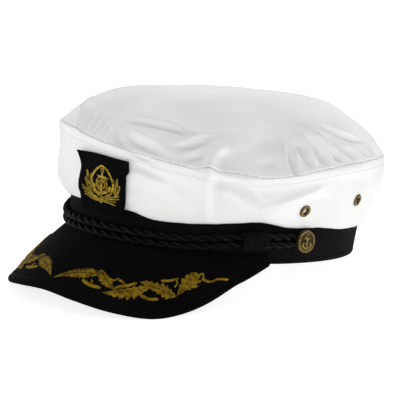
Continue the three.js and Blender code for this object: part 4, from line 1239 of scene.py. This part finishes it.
def eyeletBody(turn, level):
    # a rolled lip outside, the barrel, and a flat washer inside
    back = -crown["clothWall"] - eyelets["gap"]
    front = eyelets["gap"]
    middle, half = (eyelets["bore"] + eyelets["radius"]) / 2, (eyelets["radius"] - eyelets["bore"]) / 2
    roll = [(middle + half * math.cos(a), front - 0.25 + (eyelets["lip"] + 0.3) * math.sin(a))
            for a in np.radians(np.linspace(0, 180, 15))]
    bore = [(eyelets["bore"], h) for h in np.linspace(front - 0.3, back - 0.4, 5)]
    inner = back - eyelets["lip"]
    washer = [(eyelets["bore"] + 0.3, inner), (eyelets["washer"] - 0.3, inner),
              (eyelets["washer"], back - eyelets["lip"] / 2), (eyelets["washer"], back),
              (eyelets["barrel"], back), (eyelets["barrel"], front - 0.25)]
    section = np.array([*roll, *bore, *washer])
    angles = fullCircle(56)
    loops = turnOnCrown(turn, level, angles, section)
    wearAndGlints = np.concatenate([np.linspace(0.15, 0.9, 7), np.linspace(0.9, 0.1, 8), np.full(11, 0.05)])
    wobble = 0.12 * np.sin(angles * 3 + turn)[:, None] + 0.08 * np.sin(angles * 7 + level * 9)[:, None]
    return sweepBody(loops, True, None, {"relief": np.clip(wearAndGlints[None] + wobble, 0, 1)})


for name, side in sides.items():
    for row in eyeletRows:
        title = f"eyelet{name.capitalize()}{row['name'].capitalize()}"
        mesh = buildMesh(title, [eyeletBody(side * row["turn"], row["level"])])
        addPiece(title, mesh, agedBrass, "aged_brass", f"eyelet_{name}_{row['name']}")


def liningBody(turn, level):
    # the white lining that shows through an eyelet
    radii = [0.2, 0.8, 1.4, 1.95, 1.95, 1.4, 0.8, 0.2]
    lifts = np.array([0.3, 0.25, 0.1, 0, -0.3, -0.3, -0.3, -0.3]) - eyelets["liningDepth"]
    angles = fullCircle(24)
    return sweepBody(turnOnCrown(turn, level, angles, np.column_stack([radii, lifts])), True)


linings = [liningBody(side * row["turn"], row["level"]) for side in (-1, 1) for row in eyeletRows]
addPiece("eyeletLinings", buildMesh("eyeletLinings", linings), whiteCotton, "white_cotton")
print("eyelets set")

# Badge: a felt patch that curls off the crown, and its gold embroidery

patch = {
    "foot": 22, "top": 59.5, "wall": 1.8, "gap": 0.5, "curl": 2, "seatLevel": 0.12,
    "columns": 46, "rows": 48, "edge": 0.5,
}

# height on the patch, its left and right edge there, and how far the left one stands off the crown
patchRows = [
    (22, -16.4, 22.6, 0.4), (28.5, -17.2, 23, 1), (35.5, -17.6, 24, 2), (44.5, -14.8, 24.8, 0.6),
    (49, -13.4, 25.2, 0), (52, -13, 27.2, 0.2), (57, -13.8, 27.4, 1), (60, -14.6, 27.5, 1.8),
]


def badgePoint(across, height, lift):
    across, height = np.broadcast_arrays(np.asarray(across, float), np.asarray(height, float))
    turn = np.sign(across) * np.degrees(np.arcsin(
        np.minimum(np.abs(across) / (crown["seamWidth"] / 2), 1) ** (head["ovalPower"] / 2)))
    hem, seam = crownForm(turn, 0)[..., 2], crownForm(turn, 1)[..., 2]
    level = np.maximum((height - hem) / (seam - hem), patch["seatLevel"])
    seat = crownPoint(turn, level, 0, 0)
    middle = across - 5.5
    up = np.maximum((height - patch["foot"]) / (patch["top"] - patch["foot"]), 0)
    curl = patch["curl"] * np.abs(middle / 21.75) ** 3 * up ** 3
    loose = follow(patchRows, 3, height) * smoothStep(-middle, 12, 20)
    over = np.maximum(offBand(turn, level, clothDetail(turn, level)), 0)
    point = seat + outward(turn) * (lift + curl + loose + over)[..., None]
    point[..., 2] = height
    return point


def makePatch():
    heights = np.linspace(patch["foot"], patch["top"], patch["rows"])
    shares = np.linspace(0, 1, patch["columns"])
    left, right = (follow(patchRows, column, heights) for column in (1, 2))
    across = left + (right - left) * shares[:, None]
    drop = 1.6 * smoothStep(shares[:, None], 0.3, 1) * smoothStep(heights[None], 45, 60)
    wave = 0.25 * np.sin(shares[:, None] * 9 + heights[None] * 0.16)
    edge = patch["edge"] * (1 - np.minimum(np.minimum(shares, 1 - shares)[:, None] * 40 / 0.9, 1)) ** 2
    rows = np.broadcast_to(heights, across.shape) - drop
    front = badgePoint(across, rows, patch["gap"] + patch["wall"] + wave - edge)
    back = badgePoint(across, rows, patch["gap"] + wave * 0.5 + edge)[:, ::-1]
    middle = (front[:, -1] + back[:, 0]) / 2 + [0, 0, 0.35]
    foot = (front[:, 0] + back[:, -1]) / 2 - [0, 0, 0.35]
    loops = np.concatenate([front, middle[:, None], back, foot[:, None]], 1)
    return buildMesh("badgePatch", [sweepBody(loops)])


addPiece("badgePatch", makePatch(), patchFelt, "patch_felt", "badge_patch")

stitching = {
    "leafRise": 0.85, "slant": 52, "veinAndShade": 0.3, "sideVein": 0.6,
}


def strokeBody(path, width, place, rise=0.8, taper=0.25, twist=0.0, lift=0.0):
    # a raised stroke of satin stitches along a path; twist cuts it into slanted coils like a rope
    path = np.asarray(path, float)
    length = float(np.linalg.norm(np.diff(path, axis=0), axis=1).sum())
    line = smoothPath(path, max(int(length / 0.22), 8))
    way = np.gradient(line, axis=0)
    way /= np.linalg.norm(way, axis=1, keepdims=True)
    share = np.linspace(0, 1, len(line))
    ends = np.minimum(np.minimum(share, 1 - share) * length / width + 0.05, 1) ** 0.5
    half = width / 2 * (taper + (1 - taper) * ends)
    angles = np.linspace(0, math.pi, 11)
    across, high = np.cos(angles), np.sin(angles)
    along = share[:, None] * length
    coil = 1.0
    if twist:
        phase = 2 * math.pi * (along - across[None] * width * 0.45) / twist
        coil = 0.6 + 0.4 * np.abs(np.cos(phase / 2)) ** 0.7
    reach = half[:, None] * across[None] * (1.0 if not twist else 0.94 + 0.06 * coil)
    x = line[:, :1] - way[:, 1:] * reach
    y = line[:, 1:] + way[:, :1] * reach
    z = lift + rise * ends[:, None] * high[None] * coil
    top = place(x, y, z)
    bottom = place(x[:, ::-5][:, 1:2], y[:, ::-5][:, 1:2], np.full((len(line), 1), lift - 0.15))
    loops = np.concatenate([top, bottom], 1)
    slant = math.radians(stitching["slant"])
    across = np.broadcast_to(across, x.shape)
    mapX = along * math.sin(slant) - across * half[:, None] * math.cos(slant)
    mapY = along * math.cos(slant) + across * half[:, None] * math.sin(slant)
    mapAt = padMap(np.stack([mapX, mapY], -1))
    # painted shade along the stroke's edges and in the grooves between its coils
    dark = np.zeros(loops.shape[:2])
    dark[:, [0, -2]] = 0.95
    dark[:, [1, -3]] = 0.45
    if twist:
        dark[:, :-1] = np.maximum(dark[:, :-1], np.clip((0.9 - coil) * 3.2, 0, 0.95))
    return sweepBody(loops, False, mapAt, {"veinAndShade": dark})


def padMap(pairs):
    # the map of a swept body whose back isn't seen: its edges are repeated
    pairs = np.concatenate([pairs, pairs[:, -1:], pairs[:, -1:]], 1)
    return np.concatenate([pairs, pairs[-1:]], 0)


def leafBody(rib, left, right, place, veinAndShade, teeth, lift=0.0):
    # a leaf of satin stitches: two raised halves beside its rib, with a toothed edge
    steps, ways = 72, 17
    middle = smoothPath(rib, steps)
    edges = [smoothPath([rib[0], *edge, rib[-1]], steps) for edge in (left, right)]
    length = float(np.linalg.norm(np.diff(middle, axis=0), axis=1).sum())
    share = np.linspace(0, 1, steps)
    across = np.linspace(-1, 1, ways)
    saw = (share * length / teeth["pitch"]) % 1
    notch = 1 - teeth["depth"] * (1 - saw) ** 1.6 * np.sin(np.pi * share) ** 0.5
    x, y = np.zeros((steps, ways)), np.zeros((steps, ways))
    for k, amount in enumerate(across):
        edge = edges[0] if amount < 0 else edges[1]
        point = middle + (edge - middle) * (abs(amount) * notch)[:, None]
        x[:, k], y[:, k] = point[:, 0], point[:, 1]
    half = np.hypot(x - middle[:, :1], y - middle[:, 1:])
    ends = np.clip(np.minimum(share, 1 - share) * 9, 0.12, 1)[:, None] ** 0.5
    hump = np.sin(np.pi * np.clip(0.16 + 0.84 * np.abs(across), 0, 1)) ** 0.6
    z = lift + stitching["leafRise"] * ends * hump[None]
    top = place(x, y, z)
    bottom = place(middle[:, :1], middle[:, 1:], np.full((steps, 1), lift - 0.15))
    loops = np.concatenate([top, bottom], 1)
    slant = math.radians(stitching["slant"])
    along = share[:, None] * length
    mapX = along * math.sin(slant) - half * math.cos(slant)
    mapY = along * math.cos(slant) + half * math.sin(slant)
    dark = np.zeros(loops.shape[:2])
    fade = np.sin(np.pi * np.clip(share * 1.1, 0, 1))[:, None] ** 0.4
    dark[:, :ways] = veinAndShade * (half < stitching["veinAndShade"]) * fade
    ribs = ((share[:, None] * length + 1.3 * half) / teeth["pitch"]) % 1
    dark[:, :ways] = np.maximum(dark[:, :ways], stitching["sideVein"] * (ribs < 0.2) * (half > 0.4))
    # painted shade along the leaf's edges
    dark[:, 0] = dark[:, ways - 1] = 0.8
    return sweepBody(loops, False, padMap(np.stack([mapX, mapY], -1)), {"veinAndShade": dark})


# The emblem: strokes in millimetres across the crown's front and above the band's rim
emblem = {
    "across": -1.6, "middle": 38, "squeeze": 0.95, "rope": 1.55, "cord": 0.9, "coil": 2.1, "leafWidth": 2.25,
}
archLeft = [(5.6, 33), (2, 34.4), (0, 36.8), (-1.1, 40), (-0.9, 43.2), (0.6, 46.6), (3.2, 49.8), (5.8, 52),
            (8.6, 53.6)]
archRight = [(10, 33.2), (13.4, 34.6), (16, 37), (17.5, 40), (17.3, 43.2), (16, 46.8), (14.2, 49.8),
             (11.6, 52.2), (8.4, 53.6)]
anchorStrokes = [
    (1.3, [(9, 49.6), (8.4, 45), (7.4, 40), (6.4, 36), (5.6, 31.6)]),
    (1.1, [(3.8, 46.9), (6, 46.2), (8.8, 46.3), (11.4, 46), (13.6, 45.2)]),
    (1.2, [(0.6, 39.6), (1.1, 37.2), (2.9, 35.3), (6, 34.7), (9.8, 35.4), (12.8, 37), (14.8, 39.4)]),
    (1, [(-0.2, 38.2), (0.6, 40.4), (1.9, 39)]),
    (1, [(13.2, 38.8), (14.9, 40.2), (15.6, 38.2)]),
]
knotStrokes = [
    [(3.8, 32.2), (4.2, 30.2), (4.3, 28.7)], [(5.5, 32.4), (5.8, 30), (5.9, 28)],
    [(7.4, 32.6), (7.3, 30.6), (7.2, 29)],
]
rayStrokes = [
    [(-10.6, 38.4), (-6.6, 35.4), (-2.4, 33), (2.4, 31.2)],
    [(-10.6, 36.4), (-6.4, 33.8), (-2, 31.9), (3, 30.6)],
    [(-9.8, 34), (-4.6, 31.9), (-0.8, 30.8), (3, 30)],
    [(-9.8, 32.2), (-4.6, 30.4), (-0.6, 29.6), (3.2, 29.3)],
    [(21.6, 35), (16.6, 33.5), (12, 32.8), (8.4, 32.6)],
    [(21.2, 32.9), (15.8, 32), (12, 31.7), (8.4, 31.6)],
    [(18.6, 30.4), (13.6, 30.5), (8.2, 30.6)],
    [(18, 28.4), (13, 29.1), (8, 29.6)],
]
laurelLeaves = [
    ((-5, 42.4), (-4.6, 49.4)), ((-1.9, 40.4), (-1.2, 47.2)), ((-5.6, 38), (-7.4, 44)),
    ((-3, 36.2), (-4.4, 42.6)), ((-1, 33.8), (-2.6, 40.2)), ((-3.4, 33.4), (-7, 39)),
    ((20, 40.2), (21, 46.8)), ((17.6, 39.2), (18.2, 45.6)), ((20.2, 36), (22.8, 42.4)),
    ((17.2, 35.6), (20, 42)), ((14, 33.8), (16.8, 40)), ((17, 33.6), (22, 38.2)),
]


def onPatch(x, y, z):
    height = emblem["middle"] + (y - emblem["middle"]) * emblem["squeeze"]
    return badgePoint(x + emblem["across"], height, patch["gap"] + patch["wall"] + z)


def ringPath(x, y, radiusX, radiusY, tilt, steps=40):
    angles = np.linspace(0, 2 * math.pi, steps)
    a, b = radiusX * np.cos(angles), radiusY * np.sin(angles)
    c, d = math.cos(math.radians(tilt)), math.sin(math.radians(tilt))
    return [(x + c * p - d * q, y + d * p + c * q) for p, q in zip(a, b)]


def makeEmblem():
    bodies = [strokeBody(path, emblem["rope"], onPatch, 0.95, 0.6, emblem["coil"])
              for path in (archLeft, archRight)]
    bodies += [strokeBody(path, width, onPatch, 0.75, 0.5) for width, path in anchorStrokes]
    bodies += [strokeBody(path, 1.25, onPatch, 0.8, 0.6, 0.9, 0.15) for path in knotStrokes]
    bodies += [strokeBody(path, emblem["cord"], onPatch, 0.7, 0.5, 1.1) for path in rayStrokes]
    for radiusX, radiusY in ((4.6, 4.9), (2.6, 2.9)):
        path = ringPath(7.9, 41, radiusX, radiusY, -8)
        bodies.append(strokeBody(path, 1.15, onPatch, 0.8, 0.9, 1.2, 0.1))
    bodies.append(strokeBody(ringPath(9.1, 50.6, 1.1, 1.1, 0, 20), 0.7, onPatch, 0.6, 0.9))
    for (fx, fy), (tx, ty) in laurelLeaves:
        length = math.hypot(tx - fx, ty - fy)
        sideX, sideY = -(ty - fy) / length, (tx - fx) / length
        edges = []
        for side in (-1, 1):
            edges.append([(fx + (tx - fx) * share + side * sideX * emblem["leafWidth"] * wide,
                           fy + (ty - fy) * share + side * sideY * emblem["leafWidth"] * wide)
                          for share, wide in ((0.25, 0.4), (0.5, 0.5), (0.78, 0.32))])
        bodies.append(leafBody([(fx, fy), (tx, ty)], *edges, onPatch, 0.7, {"pitch": 2, "depth": 0.2}))
    return buildMesh("badgeEmblem", bodies)


addPiece("badgeEmblem", makeEmblem(), emblemThread, "gold_thread", "badge_emblem")
print("badge embroidered")

# Leaf sprays: flat millimetres along the peak and down it from the band

spray = {"spread": 2.15, "depth": 49, "gap": 0.1}
leaves = [
    {"rib": [(27.4, 31.8), (13.5, 35.4), (1.1, 43.1)], "lift": 0,
     "left": [(21.5, 28.8), (14.4, 30.8), (9, 34.2), (5, 38.2)],
     "right": [(23.5, 35.4), (18.6, 38), (13.5, 39.2), (7, 40.6)],
     "veinAndShade": 0.95, "teeth": {"pitch": 2.6, "depth": 0.42}},
    {"rib": [(60.4, 33), (48, 37.8), (34.9, 42.1)], "lift": 0,
     "left": [(54.3, 32), (48.9, 34.4), (44.6, 36.4), (39.2, 39.3)],
     "right": [(56, 39), (52.6, 42.4), (46.4, 43.4), (40, 43)],
     "veinAndShade": 0.6, "teeth": {"pitch": 3.6, "depth": 0.5}},
    {"rib": [(40.9, 38.7), (33.8, 34.7), (28.6, 30.8), (25.8, 28.9)], "lift": 0.25,
     "left": [(34, 38.4), (29.6, 36.6), (26.6, 33), (25, 30.2)],
     "right": [(38, 35.4), (36.4, 32.4), (32, 30.6), (28, 28.6)],
     "veinAndShade": 0.95, "teeth": {"pitch": 2.8, "depth": 0.42}},
    {"rib": [(77.4, 39.7), (65.5, 34), (53.2, 30.4)], "lift": 0.2,
     "left": [(73, 33.2), (69, 29.4), (62, 28.8), (57, 28.6)],
     "right": [(70.6, 40.8), (67, 38.2), (62, 35.2), (56.5, 32.6)],
     "veinAndShade": 0.95, "teeth": {"pitch": 3.4, "depth": 0.46}},
    {"rib": [(77.4, 39.2), (82.6, 31.8), (86.6, 27), (89.6, 24)], "lift": 0.1,
     "left": [(77.6, 33), (78.8, 27), (82.2, 23.6), (86.4, 22.4)],
     "right": [(84, 37), (89.6, 37.4), (93.4, 34.2), (92.6, 28.4)],
     "veinAndShade": 0.6, "teeth": {"pitch": 3.4, "depth": 0.5}},
]
sprigs = [
    (2.2, [(19.4, 38.2), (23, 39.4), (27, 40), (32.4, 39.8)]),
    (1.3, [(24.6, 36.6), (26, 38), (24.6, 39.4)]),
    (2, [(39.6, 38.2), (42.4, 35.8), (46.6, 34.2), (51.4, 31.2)]),
    (1.5, [(39.9, 31.8), (42.4, 32.4), (45.2, 34)]),
    (1.1, [(35.6, 33.6), (38, 32.6), (40, 30.8)]),
    (1.9, [(54.6, 37.8), (57.6, 39.2), (61.4, 40.2), (66.8, 40)]),
    (1.9, [(65.6, 27.6), (71, 27.8), (77.2, 26.6)]),
    (1.2, [(75.6, 27.4), (76.6, 30.2), (75.4, 33)]),
    (1.6, [(90, 27), (93.2, 25.8), (94.4, 28.6), (94, 30.8)]),
    (2.1, [(93.4, 30), (96.8, 33.8), (100.4, 35.9), (104.4, 36), (108, 38.2), (113, 42.6)]),
]


def sprayPoint(side, x, y, lift):
    turn, depth = side * x / spray["spread"], y / spray["depth"]
    down = peakPoint(turn, depth + 0.02) - peakPoint(turn, depth - 0.02)
    around = peakPoint(turn + 1, depth) - peakPoint(turn - 1, depth)
    normal = unit(np.cross(down, around))
    point = peakPoint(turn, depth)
    point[..., 2] += peak["wall"]
    return point + normal * np.asarray(spray["gap"] + lift)[..., None]


def makeSpray(name, side):
    def onPeak(x, y, z):
        return sprayPoint(side, x, y, z)

    bodies = [strokeBody(path, width, onPeak, 0.8, 0.5, 0.0, -0.05) for width, path in sprigs]
    bodies += [leafBody(row["rib"], row["left"], row["right"], onPeak, row["veinAndShade"], row["teeth"], row["lift"])
               for row in leaves]
    return buildMesh(name, bodies)


for name, side in sides.items():
    title = "leafSpray" + name.capitalize()
    addPiece(title, makeSpray(title, side), goldThread, "gold_thread", f"leaf_spray_{name}")
print("leaves embroidered")

# Rows of stitches


def topstitchPath():
    turns = allRound(1200)
    hem, seam = crownForm(turns, 0)[:, 2], crownForm(turns, 1)[:, 2]
    level = 1 - rows["topstitchBelowSeam"] / (seam - hem)
    detail = offBand(turns, level, clothDetail(turns, level))
    return toWorld(crownPoint(turns, level, -0.1, detail))


def peakStitchPath():
    turns = np.linspace(-peak["halfTurn"] + 3, peak["halfTurn"] - 3, 400)
    reach = np.linalg.norm(peakPoint(turns, 1) - peakPoint(turns, 0), axis=-1)
    return toWorld(peakPoint(turns, 1 - rows["peakInset"] / reach) + [0, 0, peak["wall"] + 0.06])


def bandStitchPath(height):
    turns = allRound(900)
    return toWorld(bandFace(turns, height) + outward(turns) * 0.06)


def sewRow(name, path, closed, pitch, length, thread, material, slot):
    line = polyline(name, [path], closed)
    mesh = runTree(line, stitchTree, {
        "Pitch": pitch * mm, "Length": length * mm, "Thread": thread * mm, "Material": material})
    addPiece(name, mesh, material, slot)


sewRow("crownTopstitch", topstitchPath(), True, rows["topstitchPitch"], rows["topstitchLength"],
       rows["topstitchThread"], whiteThread, "white_cotton")
sewRow("peakStitch", peakStitchPath(), False, rows["peakPitch"], rows["peakLength"], rows["peakThread"],
       cordThread, "peak_felt")
for name, height in (("bandStitchLow", rows["bandInset"]), ("bandStitchHigh", rows["bandHighRow"])):
    sewRow(name, bandStitchPath(height), True, rows["bandPitch"], rows["bandLength"], rows["peakThread"],
           cordThread, "band_twill")
print("stitches sewn")

# Floor and light

studio = {
    "floor": (0.55, 0.55, 0.55, 1), "glow": 0.8, "sky": 0.38, "backdrop": 1.0,
    "lampSize": 0.8, "lampDistance": 1.3,
}
# name, azimuth, elevation, power
lamps = [("left", -35, 14, 3.6), ("right", 110, 14, 4.1), ("low", 34, 4, 5.2), ("back", 215, 42, 12)]


def addStudio():
    material, tree, shader = newMaterial("pale floor")
    feed(tree, shader, {"Base Color": studio["floor"], "Roughness": 0.9, "Specular IOR Level": 0.1,
        "Emission Color": (1, 1, 1, 1), "Emission Strength": studio["glow"]})
    mesh = bpy.data.meshes.new("floor")
    reach = 6
    corners = [(-reach, -reach, 0), (reach, -reach, 0), (reach, reach, 0), (-reach, reach, 0)]
    mesh.from_pydata(corners, [], [(0, 1, 2, 3)])
    floor = bpy.data.objects.new("floor", mesh)
    mesh.materials.append(material)
    scene.collection.objects.link(floor)
    world = bpy.data.worlds.new("studio")
    world.use_nodes = True
    tree = world.node_tree
    sky = tree.nodes["Background"]
    feed(tree, sky, {"Strength": studio["sky"], "Color": (1, 1, 1, 1)})
    seen = addNode(tree, "ShaderNodeBackground", {"Color": (1, 1, 1, 1), "Strength": studio["backdrop"]})
    path = tree.nodes.new("ShaderNodeLightPath")
    both = addNode(tree, "ShaderNodeMixShader", {
        0: path.outputs["Is Camera Ray"], 1: sky, 2: seen})
    feed(tree, tree.nodes["World Output"], {"Surface": both})
    scene.world = world
    for name, azimuth, elevation, power in lamps:
        lamp = bpy.data.lights.new(name, "AREA")
        lamp.energy = power
        lamp.size = studio["lampSize"]
        light = bpy.data.objects.new(name, lamp)
        way = wayTo(azimuth, elevation)
        light.location = Vector((0, 0, 0.05)) + way * studio["lampDistance"]
        light.rotation_euler = way.to_track_quat("Z", "Y").to_euler()
        scene.collection.objects.link(light)


addStudio()
scene.view_settings.view_transform = "Standard"
print("studio lit")
